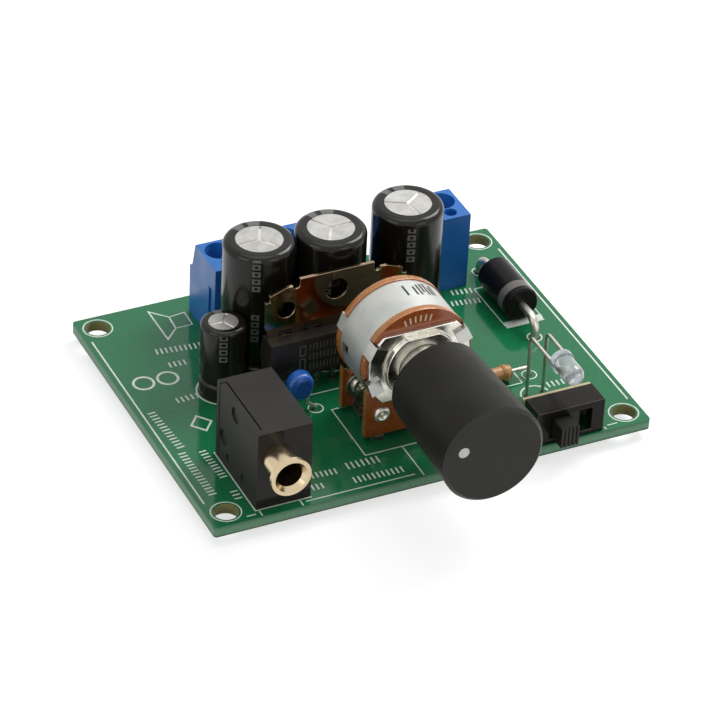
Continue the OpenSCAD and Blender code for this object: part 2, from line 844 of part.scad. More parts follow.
module amplifier_chip_body() {
    front = chip_d - chip_back;
    color("dimgray")
        difference() {
            on_board(chip_x, fin_y)
                intersection() {
                    translate([-chip_w / 2, 0, 0])
                        rotate([90, 0, 90])
                            linear_extrude(chip_w)
                                tapered(-front, chip_back);
                    translate([0, chip_back, 0])
                        to_front()
                            linear_extrude(chip_d)
                                tapered(-chip_w / 2, chip_w / 2);
                }
            fin_plate(fin_t);
            on_board(chip_x - chip_w / 2 + mark_in, fin_y - front + mark_depth)
                translate([0, 0, chip_lift + mark_z])
                    to_front()
                        linear_extrude(2 * mark_depth)
                            intersection() {
                                circle(r = mark_r);
                                translate([-mark_r, mark_top - 2 * mark_r])
                                    square(2 * mark_r);
                            }
        }
}

module amplifier_chip_fin() {
    color("tan")
        fin_plate(fin_t);
}

module amplifier_chip_pins() {
    foot_w = chip_w - 2 * chip_draft;
    color("silver")
        for (pin = CHIP_LEADS)
            on_board(0, fin_y - pin_t / 2) {
                intersection() {
                    translate([pin[0], 0, pin_shoulder_z])
                        middle_block(pin_shoulder_w, pin_t, chip_lift - pin_shoulder_z);
                    translate([chip_x, 0, 0])
                        middle_block(foot_w, pin_t, chip_lift);
                }
                translate([pin[0], 0, -tail])
                    middle_block(pin_w, pin_t, tail + pin_shoulder_z + eps);
            }
}

// Potentiometer, drawn along Z from its rear face to its front

module at_pot(z) {
    translate([pot_x, pot_rear_y - z, board_t + pot_axis_h])
        to_front()
            children();
}

// Slots around the rim that the can's tabs pass through
module tab_notches(angles, w) {
    for (a = angles)
        rotate(a)
            translate([can_r - can_t - notch_room, -w / 2])
                square([2 * (can_t + notch_room), w]);
}

module wafer_outline(angles) {
    difference() {
        union() {
            circle(r = wafer_r);
            translate([-wafer_tail_w / 2, wafer_tail_gap - pot_axis_h])
                square([wafer_tail_w, pot_axis_h - wafer_tail_gap - wafer_tail_top]);
        }
        circle(r = wafer_hole_r);
        tab_notches(angles, tab_w + 2 * notch_room);
        for (i = [-1 : 1])
            translate([i * pot_pin_pitch, -rivet_drop])
                circle(r = rivet_shank_r, $fn = 24);
    }
}

module potentiometer_front_wafer() {
    color("saddlebrown")
        at_pot(front_wafer_z)
            linear_extrude(wafer_t)
                wafer_outline(TAB_ANGLES);
}

module potentiometer_rear_wafer() {
    color("saddlebrown")
        at_pot(rear_wafer_z)
            linear_extrude(wafer_t)
                wafer_outline(REAR_TAB_ANGLES);
}

// A tab from the can: along the rim, then folded in over the plate in front of it
module can_tab(reach) {
    translate([can_r - can_t, -tab_w / 2, -eps])
        cube([can_t, tab_w, reach + can_t + eps]);
    translate([tab_in_r, -tab_w / 2, reach])
        cube([can_r - tab_in_r, tab_w, can_t]);
}

module potentiometer_can() {
    color("silver")
        at_pot(can_z) {
            difference() {
                linear_extrude(can_l)
                    difference() {
                        circle(r = can_r);
                        circle(r = can_r - can_t);
                        translate([-can_r, -can_r - can_flat])
                            square([2 * can_r, can_r]);
                    }
                for (a = CAN_SLOTS)
                    rotate([0, 0, a])
                        translate([can_r - 2 * can_t, -can_slot_w / 2, can_slot_z])
                            cube([3 * can_t, can_slot_w, can_slot_l]);
            }
            translate([0, 0, can_l])
                for (a = TAB_ANGLES)
                    rotate([0, 0, a])
                        can_tab(wafer_t + plate_t);
            mirror([0, 0, 1])
                for (a = REAR_TAB_ANGLES)
                    rotate([0, 0, a])
                        can_tab(wafer_t);
        }
}

// Round plate with a flat above and below
module flat_sided(r, chord) {
    intersection() {
        circle(r = r);
        square([2 * r + 1, 2 * chord], center = true);
    }
}

module potentiometer_front_plate() {
    color("lightgray")
        at_pot(plate_z)
            difference() {
                union() {
                    linear_extrude(plate_t)
                        difference() {
                            flat_sided(plate_r, plate_chord);
                            tab_notches(TAB_ANGLES, tab_w + 2 * notch_room);
                        }
                    linear_extrude(plate_t + boss_h)
                        flat_sided(boss_r, boss_chord);
                }
                translate([0, 0, -eps])
                    cylinder(r = bushing_r, h = plate_t + boss_h + 2 * eps);
            }
}

module potentiometer_bushing() {
    color("silver")
        at_pot(plate_z)
            difference() {
                cylinder(r = bushing_r, h = plate_t + bushing_l);
                translate([0, 0, -eps])
                    cylinder(r = shaft_d / 2 + shaft_fit, h = plate_t + bushing_l + 2 * eps);
            }
}

module potentiometer_rear_cover() {
    color("gainsboro")
        at_pot(rear_wafer_z)
            mirror([0, 0, 1]) {
                cylinder(r = cover_r, h = cover_t);
                cylinder(r = cover_r / 2, h = cover_t + cover_dome_t);
            }
}

// The rivet holes of one wafer, each with its child drawn around it
module at_rivets() {
    for (i = [-1 : 1])
        translate([i * pot_pin_pitch, -rivet_drop, 0])
            children();
}

// Lug behind a wafer, leg down to the board, a joggle forward and the pin
module pot_terminal(lug_y, pin_y) {
    drop = pot_axis_h - rivet_drop;
    on_board(0, lug_y) {
        translate([0, 0, drop])
            rotate([-90, 0, 0])
                difference() {
                    cylinder(r = lug_r, h = lug_t);
                    translate([0, 0, -eps])
                        cylinder(r = rivet_shank_r, h = lug_t + 2 * eps, $fn = 24);
                }
        translate([0, 0, joggle_z])
            middle_block(leg_w, lug_t, drop - joggle_z - rivet_shank_r - lug_neck);
    }
    on_board(0, pin_y - lug_t / 2) {
        translate([0, 0, joggle_z])
            middle_block(leg_w, lug_y + lug_t - pin_y + lug_t / 2, joggle_h);
        translate([0, 0, -tail])
            middle_block(pot_pin_w, lug_t, tail + joggle_z + eps);
    }
}

module potentiometer_terminals() {
    front_lug_y = pot_rear_y - front_wafer_z;
    rear_lug_y = pot_rear_y - can_z - lug_t;
    color("lightgray")
        for (i = [-1 : 1])
            translate([pot_x + i * pot_pin_pitch, 0, 0]) {
                pot_terminal(front_lug_y, front_pin_y);
                pot_terminal(rear_lug_y, rear_pin_y);
            }
}

// Hollow rivet through a wafer and the lug on one side of it
module rivet(grip) {
    difference() {
        union() {
            translate([0, 0, -rivet_head_h])
                cylinder(r = rivet_head_r, h = rivet_head_h);
            cylinder(r = rivet_shank_r, h = grip, $fn = 24);
            translate([0, 0, grip])
                cylinder(r = rivet_head_r, h = rivet_head_h);
        }
        translate([0, 0, -rivet_head_h - eps])
            cylinder(r = rivet_shank_r / 2, h = rivet_head_h + rivet_hollow);
        translate([0, 0, grip - rivet_hollow])
            cylinder(r = rivet_shank_r / 2, h = rivet_head_h + rivet_hollow + eps);
    }
}

module potentiometer_rivets() {
    color("gainsboro") {
        at_pot(front_wafer_z - lug_t)
            at_rivets()
                rivet(wafer_t + lug_t);
        at_pot(rear_wafer_z)
            at_rivets()
                rivet(wafer_t + lug_t);
    }
}

// Two carriers on the shaft, one facing each wafer
module potentiometer_rotors() {
    color("ivory")
        for (z = [can_z + rotor_gap, front_wafer_z - rotor_gap - rotor_t])
            at_pot(z)
                difference() {
                    cylinder(r = rotor_r, h = rotor_t);
                    translate([0, 0, -eps])
                        cylinder(r = shaft_d / 2, h = rotor_t + 2 * eps);
                }
}

module potentiometer_shaft() {
    color("silver")
        at_pot(shaft_z)
            cylinder(d = shaft_d, h = knob_rear_z + knob_hub_recess + shaft_in_knob - shaft_z);
}

module volume_knob() {
    front_r = knob_front_d / 2;
    color("#1b1b1c")
        at_pot(knob_rear_z)
            difference() {
                rotate_extrude($fn = 96)
                    difference() {
                        polygon([[0, 0],
                                 [knob_rear_d / 2, 0],
                                 [front_r, knob_l - knob_bevel],
                                 [front_r - knob_bevel, knob_l],
                                 [0, knob_l]]);
                        translate([knob_hub_r, -eps])
                            square([knob_rear_d / 2 - knob_wall - knob_hub_r, knob_l - knob_face_t]);
                        translate([0, -eps])
                            square([knob_hub_r + eps, knob_hub_recess + eps]);
                        translate([0, -eps])
                            square([shaft_d / 2, knob_hub_recess + knob_bore_l + eps]);
                    }
                rotate([0, 0, dot_angle])
                    translate([dot_place_r, 0, knob_l - dot_depth])
                        cylinder(r = dot_r, h = dot_depth + eps);
            }
}

// Audio jack

// Moves a shape to the jack: centred left to right, from its front face back
module at_jack() {
    on_board(jack_x, jack_front_y)
        children();
}

// Moves a shape to the plug's axis, from the housing's front face back
module at_plug() {
    on_board(plug_x, jack_front_y)
        children();
}

// A round hole or rod on the plug's axis, from one depth to a deeper one
module on_plug_axis(r, from, to) {
    translate([0, to, jack_axis_h])
        to_front()
            cylinder(r = r, h = to - from);
}

// The room that the barrel's neck and the plug take up in the housing and its cover
module plug_hollow() {
    on_plug_axis(neck_r, -eps, barrel_in);
    on_plug_axis(jack_bore_r, 0, jack_l - jack_back_wall);
}

module jack_housing() {
    room_w = contact_w + 2 * contact_room;
    color("#262626")
        difference() {
            at_jack()
                difference() {
                    middle_block(jack_w, jack_l, jack_h);
                    translate([-jack_w / 2 - eps, side_cover_front, -eps])
                        cube([side_cover_t + eps, jack_l - side_cover_front - side_cover_back,
                              jack_h + 2 * eps]);
                }
            at_plug() {
                plug_hollow();
                for (y = [tip_y, ring_y])
                    translate([contact_x - contact_room, y - room_w / 2, -eps])
                        cube([contact_t + 2 * contact_room, room_w, contact_h + contact_room]);
                translate([0, tag_y - contact_room, -eps])
                    middle_block(tag_w + 2 * contact_room, tag_t + 2 * contact_room, jack_axis_h);
            }
        }
}

module jack_side_cover() {
    cover_l = jack_l - side_cover_front - side_cover_back - seam;
    color("#303030")
        difference() {
            at_jack()
                translate([-jack_w / 2, side_cover_front, 0])
                    difference() {
                        cube([side_cover_t, cover_l, jack_h]);
                        translate([side_cover_t - seam, -eps, jack_h - seam_depth])
                            cube([seam + eps, cover_l + 2 * eps, seam_depth + eps]);
                        for (place = DIMPLES)
                            translate([-eps, place[0], jack_h - place[1]])
                                rotate([0, 90, 0])
                                    cylinder(r = dimple_r, h = dimple_depth + eps);
                        for (y = COVER_SLOTS)
                            translate([-eps, y, cover_slot_z])
                                cube([dimple_depth + eps, cover_slot_w, cover_slot_h]);
                    }
            at_plug()
                plug_hollow();
        }
}

// The turned barrel: neck in the housing, flared mouth, and the earth tag below it
module jack_barrel() {
    plug_r = plug_hole_d / 2;
    color("wheat")
        at_plug()
            difference() {
                union() {
                    on_plug_axis(neck_r, -barrel_out, barrel_in);
                    on_plug_axis(flange_d / 2, -barrel_out, -barrel_out + flange_t);
                    translate([0, tag_y, 0])
                        middle_block(tag_w, tag_t, jack_axis_h);
                    translate([0, tag_y, -tail])
                        middle_block(jack_pin_w, tag_t, tail + eps);
                }
                on_plug_axis(plug_r, -barrel_out - eps, barrel_in + eps);
                translate([0, -barrel_out + flange_t, jack_axis_h])
                    to_front()
                        cylinder(r1 = plug_r, r2 = mouth_r, h = flange_t + eps);
            }
}

// A spring blade at the right of the plug hole, with the bump that meets the plug
module jack_contact(y) {
    at_plug()
        translate([contact_x, y, 0]) {
            translate([0, -contact_w / 2, 0])
                cube([contact_t, contact_w, contact_h]);
            translate([0, -jack_pin_w / 2, -tail])
                cube([contact_t, jack_pin_w, tail + eps]);
            translate([contact_t / 2, 0, jack_axis_h - contact_w / 4])
                intersection() {
                    cylinder(r = contact_bump_r, h = contact_w / 2);
                    translate([-contact_bump_r, -contact_bump_r, 0])
                        cube([contact_bump_r + eps, 2 * contact_bump_r, contact_w / 2]);
                }
        }
}

module jack_tip_contact() {
    color("goldenrod")
        jack_contact(tip_y);
}

module jack_ring_contact() {
    color("goldenrod")
        jack_contact(ring_y);
}

// Slide switch

// Moves a shape to the switch: centred left to right, from its front face back
module at_switch() {
    on_board(switch_x, switch_front_y)
        children();
}

module switch_case() {
    inner_w = switch_w - 2 * switch_wall;
    color("#2c2c2a")
        at_switch()
            difference() {
                middle_block(switch_w, switch_d, switch_h);
                translate([0, switch_wall, -eps])
                    middle_block(inner_w, switch_d, switch_h - switch_wall + eps);
                translate([-slot_half_w, -eps, slot_z])
                    cube([2 * slot_half_w, switch_wall + 2 * eps, slot_h]);
            }
}

module switch_base() {
    color("peru")
        at_switch()
            translate([0, switch_d, base_foot])
                middle_block(switch_w, base_t, switch_h - base_foot - base_below);
}

// A fixed contact: a blade up the inside of the base, hooked forward at its top
module switch_blade() {
    translate([0, switch_d - blade_t, 0])
        middle_block(blade_w, blade_t, blade_h);
    translate([0, hook_y, blade_h - hook_t])
        middle_block(blade_w, switch_d - hook_y, hook_t);
    translate([0, hook_y, blade_h - hook_drop])
        middle_block(blade_w, hook_t, hook_drop);
    translate([0, switch_d - blade_t, -tail])
        middle_block(switch_pin_w, blade_t, tail + eps);
}

module switch_pins() {
    color("goldenrod")
        at_switch()
            for (i = [-1 : 1])
                translate([i * switch_pin_pitch, 0, 0])
                    switch_blade();
}

// The lever, its skirt behind the slot and the carrier for the bridge, at the left stop
module switch_lever() {
    skirt_w = switch_w - 2 * switch_wall - 2 * skirt_room - lever_travel;
    color("#1d1d1d")
        at_switch()
            translate([lever_rest_x, 0, 0])
                difference() {
                    union() {
                        translate([0, switch_wall + skirt_room, skirt_z])
                            middle_block(skirt_w, skirt_t, skirt_h);
                        translate([0, -lever_out, lever_z])
                            middle_block(lever_w, lever_out + switch_wall + skirt_room + eps, lever_h);
                        translate([0, switch_wall + skirt_room + skirt_t - eps, carrier_z])
                            middle_block(carrier_w, carrier_t + eps, carrier_h);
                    }
                    for (i = [0 : lever_grooves - 1])
                        translate([(i - (lever_grooves - 1) / 2) * lever_w / (lever_grooves + 0.5),
                                   -lever_out - eps, lever_z - eps])
                            middle_block(lever_groove_w, lever_groove_depth + eps, lever_h + 2 * eps);
                }
}

// The moving contact: a strip on the carrier with a prong to each of two blades
module switch_bridge() {
    back = switch_wall + skirt_room + skirt_t + carrier_t;
    prong_l = switch_d - blade_t - prong_room - back;
    color("goldenrod")
        at_switch()
            translate([lever_rest_x, back, carrier_z + bridge_in]) {
                middle_block(carrier_w, bridge_t, carrier_h - 2 * bridge_in);
                for (s = [-1, 1])
                    translate([s * switch_pin_pitch / 2, 0, bridge_t])
                        middle_block(prong_w, prong_l, prong_h);
            }
}

// Indicator lamp, lying above the switch on leads that rise and bend forward

module at_lamp(y) {
    on_board(lamp_x, y)
        translate([0, 0, lamp_axis_h])
            children();
}

module lamp_leads() {
    color("silver")
        for (lead = LAMP_LEADS)
            on_board(lead[0], lead[1]) {
                translate([0, 0, -tail])
                    cylinder(d = lamp_lead_d, h = tail + lamp_axis_h - lamp_bend_r, $fn = 24);
                translate([0, -lamp_bend_r, lamp_axis_h - lamp_bend_r])
                    rotate([0, 0, 90])
                        wire_bend(lamp_bend_r, lamp_lead_d);
                translate([0, -lamp_bend_r, lamp_axis_h])
                    to_front()
                        cylinder(d = lamp_lead_d, h = lead[1] - lamp_bend_r - lamp_rear_y + lamp_lead_in,
                                 $fn = 24);
            }
}

module lamp_lens() {
    dome_z = lamp_l - lamp_d / 2;
    color("aliceblue", 0.6)
        difference() {
            at_lamp(lamp_rear_y)
                to_front() {
                    cylinder(d = lamp_rim_d, h = lamp_rim_t);
                    cylinder(d = lamp_d, h = dome_z);
                    translate([0, 0, dome_z])
                        sphere(d = lamp_d);
                }
            at_lamp(lamp_rear_y)
                for (s = [-1, 1])
                    translate([s * lamp_pitch / 2, eps, 0])
                        to_front()
                            cylinder(d = lamp_lead_d, h = lamp_lead_in + eps, $fn = 24);
        }
}

// Diode, resistor and ceramic capacitor

module diode_body() {
    color("#222224")
        on_board(diode_x, diode_y)
            translate([0, diode_l / 2, diode_axis_h])
                to_front()
                    rotate_extrude()
                        polygon([[0, 0],
                                 [diode_d / 2 - diode_bevel, 0],
                                 [diode_d / 2, diode_bevel],
                                 [diode_d / 2, diode_l - diode_bevel],
                                 [diode_d / 2 - diode_bevel, diode_l],
                                 [0, diode_l]]);
}

module diode_leads() {
    color("silver")
        on_board(diode_x, diode_y)
            rotate([0, 0, 90])
                axial_leads(diode_pitch, diode_l, diode_axis_h, diode_bend_r, diode_lead_d);
}

module resistor_body() {
    end_l = resistor_d * resistor_end_share;
    color("burlywood")
        on_board(resistor_x, resistor_y)
            translate([-resistor_l / 2, 0, resistor_axis_h])
                rotate([0, 90, 0])
                    rotate_extrude()
                        union() {
                            square([resistor_waist_r, resistor_l]);
                            for (z = [end_l / 2, resistor_l - end_l / 2])
                                translate([resistor_d / 2 - end_l / 2, z])
                                    intersection() {
                                        circle(d = end_l);
                                        translate([-resistor_d / 2 + end_l / 2, -end_l])
                                            square([resistor_d, 2 * end_l]);
                                    }
                        }
}

module resistor_leads() {
    color("silver")
        on_board(resistor_x, resistor_y)
            axial_leads(resistor_pitch, resistor_l, resistor_axis_h, resistor_bend_r, resistor_lead_d);
}

// A disc with a rounded rim, drawn about Z
module rounded_disc(r, t, edge_r) {
    flat = t / 2 - edge_r;
    rotate_extrude($fn = 32)
        intersection() {
            union() {
                translate([0, -t / 2])
                    square([r - edge_r, t]);
                for (s = [-1, 1])
                    translate([r - edge_r, s * flat])
                        circle(r = edge_r, $fn = 32);
                translate([0, -flat])
                    square([r, 2 * flat]);
            }
            translate([0, -t / 2])
                square([r, t]);
        }
}

// A dipped bead: broad and round at the top, narrower where the leads come out
module ceramic_capacitor_body() {
    color("royalblue")
        on_board(bead_x, bead_y)
            difference() {
                hull()
                    for (disc = [[bead_d / 2, bead_lift + bead_h - bead_d / 2],
                                 [bead_foot_r, bead_lift + bead_foot_r]])
                        translate([0, 0, disc[1]])
                            to_front()
                                rounded_disc(disc[0], bead_t, bead_edge_r);
                for (s = [-1, 1])
                    translate([s * bead_lead_gap / 2, 0, 0])
                        cylinder(d = bead_lead_d, h = bead_lift + bead_lead_in, $fn = 24);
            }
}

// A lead that leaves the bead upright, is kinked outwards and goes down through the board
module bead_lead() {
    kink = [bead_lead_gap / 2, 0, bead_kink_h];
    foot = [bead_pitch / 2, 0, bead_foot_h];
    wire = foot - kink;
    translate(kink) {
        cylinder(d = bead_lead_d, h = bead_lift + bead_lead_in - bead_kink_h, $fn = 24);
        rotate([0, 180 - atan(wire.x / -wire.z), 0])
            cylinder(d = bead_lead_d, h = norm(wire), $fn = 24);
    }
    translate([foot.x, 0, -tail])
        cylinder(d = bead_lead_d, h = tail + foot.z, $fn = 24);
    for (bend = [kink, foot])
        translate(bend)
            sphere(d = bead_lead_d + 2 * lead_fit, $fn = 24);
}

module ceramic_capacitor_leads() {
    color("silver")
        on_board(bead_x, bead_y)
            for (side = [0, 1])
                mirror([side, 0, 0])
                    bead_lead();
}

circuit_board();
solder_joints();
capacitor_can(CAP_LEFT);  // capacitor_left_can
capacitor_sleeve(CAP_LEFT);  // capacitor_left_sleeve
capacitor_can(CAP_MIDDLE);  // capacitor_middle_can
capacitor_sleeve(CAP_MIDDLE);  // capacitor_middle_sleeve
capacitor_can(CAP_RIGHT);  // capacitor_right_can
capacitor_sleeve(CAP_RIGHT);  // capacitor_right_sleeve
capacitor_can(CAP_SMALL);  // capacitor_small_can
capacitor_sleeve(CAP_SMALL);  // capacitor_small_sleeve
capacitor_bungs();
capacitor_leads();
terminal_block(BLOCK_X[0]);  // terminal_block_left
terminal_block(BLOCK_X[1]);  // terminal_block_middle
terminal_block(BLOCK_X[2]);  // terminal_block_right
for (i = [0 : len(POLE_X) - 1]) {
    clamp_screw(POLE_X[i]);
    clamp_cage(POLE_X[i]);
}
terminal_contacts();
amplifier_chip_body();
amplifier_chip_fin();
amplifier_chip_pins();
potentiometer_front_plate();
potentiometer_bushing();
potentiometer_front_wafer();
potentiometer_can();
potentiometer_rear_wafer();
potentiometer_rear_cover();
potentiometer_terminals();
potentiometer_rivets();
potentiometer_rotors();
potentiometer_shaft();
volume_knob();
jack_housing();
jack_side_cover();
jack_barrel();
jack_tip_contact();
jack_ring_contact();
switch_case();
switch_base();
switch_pins();
switch_lever();
switch_bridge();
lamp_lens();
lamp_leads();
diode_body();
diode_leads();
resistor_body();
resistor_leads();
ceramic_capacitor_body();
ceramic_capacitor_leads();
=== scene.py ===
"""Looks of the stereo amplifier board: finishes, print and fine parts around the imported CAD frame.

Lengths in this file are millimetres; objects are made in metres.
X runs to the right along the front edge, Y to the back edge with the terminals, Z up.
"""

import logging
import math
from collections.abc import Callable, Mapping, Sequence
from dataclasses import dataclass, field, replace
from enum import Enum
from typing import Any, ClassVar

import bmesh
import bpy
from mathutils import Matrix, Vector


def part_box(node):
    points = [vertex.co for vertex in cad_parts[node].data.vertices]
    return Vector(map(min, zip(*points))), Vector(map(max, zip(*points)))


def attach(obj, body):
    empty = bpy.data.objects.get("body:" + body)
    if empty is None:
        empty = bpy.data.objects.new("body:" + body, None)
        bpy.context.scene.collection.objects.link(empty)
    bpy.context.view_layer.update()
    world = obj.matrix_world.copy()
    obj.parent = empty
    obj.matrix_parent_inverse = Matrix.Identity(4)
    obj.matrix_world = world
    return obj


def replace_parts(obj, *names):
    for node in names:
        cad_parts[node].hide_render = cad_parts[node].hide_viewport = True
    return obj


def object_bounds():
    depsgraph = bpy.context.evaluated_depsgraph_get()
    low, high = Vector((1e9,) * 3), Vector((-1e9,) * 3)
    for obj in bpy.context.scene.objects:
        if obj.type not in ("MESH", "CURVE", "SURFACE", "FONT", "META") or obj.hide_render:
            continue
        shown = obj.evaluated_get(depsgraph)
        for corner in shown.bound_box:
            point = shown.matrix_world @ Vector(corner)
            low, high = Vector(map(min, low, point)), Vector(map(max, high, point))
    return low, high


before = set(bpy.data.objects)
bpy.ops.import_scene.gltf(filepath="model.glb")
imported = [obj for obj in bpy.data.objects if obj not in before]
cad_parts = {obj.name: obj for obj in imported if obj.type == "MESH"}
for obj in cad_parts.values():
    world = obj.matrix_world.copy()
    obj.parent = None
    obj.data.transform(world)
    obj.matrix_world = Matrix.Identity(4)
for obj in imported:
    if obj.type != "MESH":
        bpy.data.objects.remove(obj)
CAD_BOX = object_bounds()

MM = 0.001
BOARD = "board"
BEVEL_DEG = 32.0   # edges that turn more than this are broken
SMOOTH_DEG = 30.0  # edges that turn less than this are shaded round
WELD_MM = 0.002    # vertices closer than this become one before edges are broken
MITRE_MIN = 0.4    # a printed line's corner whose cosine is below this is cut short
LOG = logging.getLogger("amplifier")

Point = tuple[float, float]
Points = tuple[Point, ...]
Socket = bpy.types.NodeSocket
Placer = Callable[[float, float, float], Vector]


class Axis(Enum):
    """A direction of the part, as the shader nodes name it."""

    X = "X"
    Y = "Y"
    Z = "Z"


def linear(hex_code: str) -> tuple[float, float, float, float]:
    """Turns an sRGB hex colour to linear values.

    Args:
        hex_code: The colour as "#rrggbb".

    Returns:
        Linear red, green and blue, and full opacity.
    """
    values = [int(hex_code[i:i + 2], 16) / 255 for i in (1, 3, 5)]
    red, green, blue = (v / 12.92 if v <= 0.04045 else ((v + 0.055) / 1.055) ** 2.4 for v in values)
    return red, green, blue, 1.0


def add_node(tree: bpy.types.NodeTree, kind: str, links: Mapping[int | str, Any] | None = None,
             **settings: Any) -> bpy.types.Node:
    """Adds a node with its settings, values and links.

    Args:
        tree: The node tree to add to.
        kind: The node's type name.
        links: Input name or number to a socket to link, or a value to set.
        **settings: Properties of the node, such as operation.

    Returns:
        The new node.
    """
    node = tree.nodes.new(kind)
    for name, value in settings.items():
        setattr(node, name, value)
    for key, value in (links or {}).items():
        if isinstance(value, bpy.types.NodeSocket):
            tree.links.new(value, node.inputs[key])
        else:
            node.inputs[key].default_value = value
    return node


def cleared(owner: bpy.types.Material | bpy.types.World) -> bpy.types.NodeTree:
    """Empties a node tree.

    Args:
        owner: The material or the world whose tree it is.

    Returns:
        The tree.
    """
    owner.use_nodes = True
    owner.node_tree.nodes.clear()
    return owner.node_tree


def arithmetic(tree: bpy.types.NodeTree, operation: str, *values: Any) -> Socket:
    """Gives the result of one step of arithmetic on numbers or sockets."""
    step = add_node(tree, "ShaderNodeMath", dict(enumerate(values)), operation=operation)
    return step.outputs["Value"]


class Pattern:
    """Makes the patterns of one material, by their place on the part in millimetres."""

    def __init__(self, tree: bpy.types.NodeTree, stretch: Sequence[float]) -> None:
        """Starts from the place on the part.

        Args:
            tree: The material's node tree.
            stretch: How much longer the grain is along each axis.
        """
        self.tree = tree
        self.spot = add_node(tree, "ShaderNodeTexCoord").outputs
        self.place = self.scaled(self.spot["Object"], (1 / MM, 1 / MM, 1 / MM))
        self.grained = self.scaled(self.place, [1 / s for s in stretch])

    def scaled(self, vector: Socket, factors: Sequence[float]) -> Socket:
        """Gives a vector with each part of it multiplied."""
        return add_node(self.tree, "ShaderNodeVectorMath", {0: vector, 1: factors},
                        operation="MULTIPLY").outputs["Vector"]

    def noise(self, size_mm: float, detail: float = 3.0) -> Socket:
        """Gives smooth noise from 0 to 1 in patches of a size, with octaves of finer detail."""
        return add_node(self.tree, "ShaderNodeTexNoise", {
            "Vector": self.grained, "Scale": 1 / size_mm, "Detail": detail}).outputs["Fac"]

    def blend(self, share: Socket, first: Socket | str, second: Socket | str) -> Socket:
        """Mixes two colours, each a socket or sRGB hex.

        Args:
            share: How much of the second one shows.
            first: The colour where the share is 0.
            second: The colour where it is 1.

        Returns:
            The mixed colour.
        """
        first, second = (linear(c) if isinstance(c, str) else c for c in (first, second))
        return add_node(self.tree, "ShaderNodeMix", {0: share, 6: first, 7: second},
                        data_type="RGBA").outputs[2]

    def remap(self, value: Socket, low: Socket | float, high: float, start: float = 0.0,
              end: float = 1.0) -> Socket:
        """Stretches one range to another, and stops at its ends.

        Args:
            value: The value to stretch.
            low: What it becomes at the start.
            high: What it becomes at the end.
            start: Where its range starts.
            end: Where its range ends.

        Returns:
            The stretched value.
        """
        return add_node(self.tree, "ShaderNodeMapRange", {
            "Value": value, "From Min": start, "From Max": end, "To Min": low,
            "To Max": high}).outputs["Result"]

    def ramp(self, value: Socket, low: float, high: float) -> Socket:
        """Gives a smooth step between 0 and 1.

        Args:
            value: The value that the step follows.
            low: Value at which the step is 0.
            high: Value at which it is 1, which may be the lesser.

        Returns:
            The step.
        """
        return add_node(
            self.tree, "ShaderNodeMapRange", {"Value": value, "From Min": low, "From Max": high},
            interpolation_type="SMOOTHSTEP").outputs["Result"]

    def math(self, operation: str, *values: Any) -> Socket:
        """Gives the result of one step of arithmetic on numbers or sockets."""
        return arithmetic(self.tree, operation, *values)

    def along(self, axis: Axis, vector: Socket | None = None) -> Socket:
        """Gives the place along one axis, or another vector's part along it."""
        parts = add_node(self.tree, "ShaderNodeSeparateXYZ", {"Vector": vector or self.place})
        return parts.outputs[axis.value]

    def facing(self, axis: Axis, low: float, high: float) -> Socket:
        """Gives how well a face looks along an axis, either way, as a step from low to high."""
        return self.ramp(self.math("ABSOLUTE", self.along(axis, self.spot["Normal"])), low, high)

    def within(self, value: Socket, low: float, high: float, soft: float) -> Socket:
        """Gives 1 between two limits and 0 elsewhere; each step is soft wide to either side."""
        return self.math("MULTIPLY", self.ramp(value, low - soft, low + soft),
                         self.ramp(value, high + soft, high - soft))

    def bump(self, height: Socket, depth: float) -> Socket:
        """Gives the normal, bent by a height from 0 to 1 over a depth in millimetres."""
        return add_node(self.tree, "ShaderNodeBump", {
            "Height": height, "Distance": depth * MM, "Strength": 1.0}).outputs["Normal"]


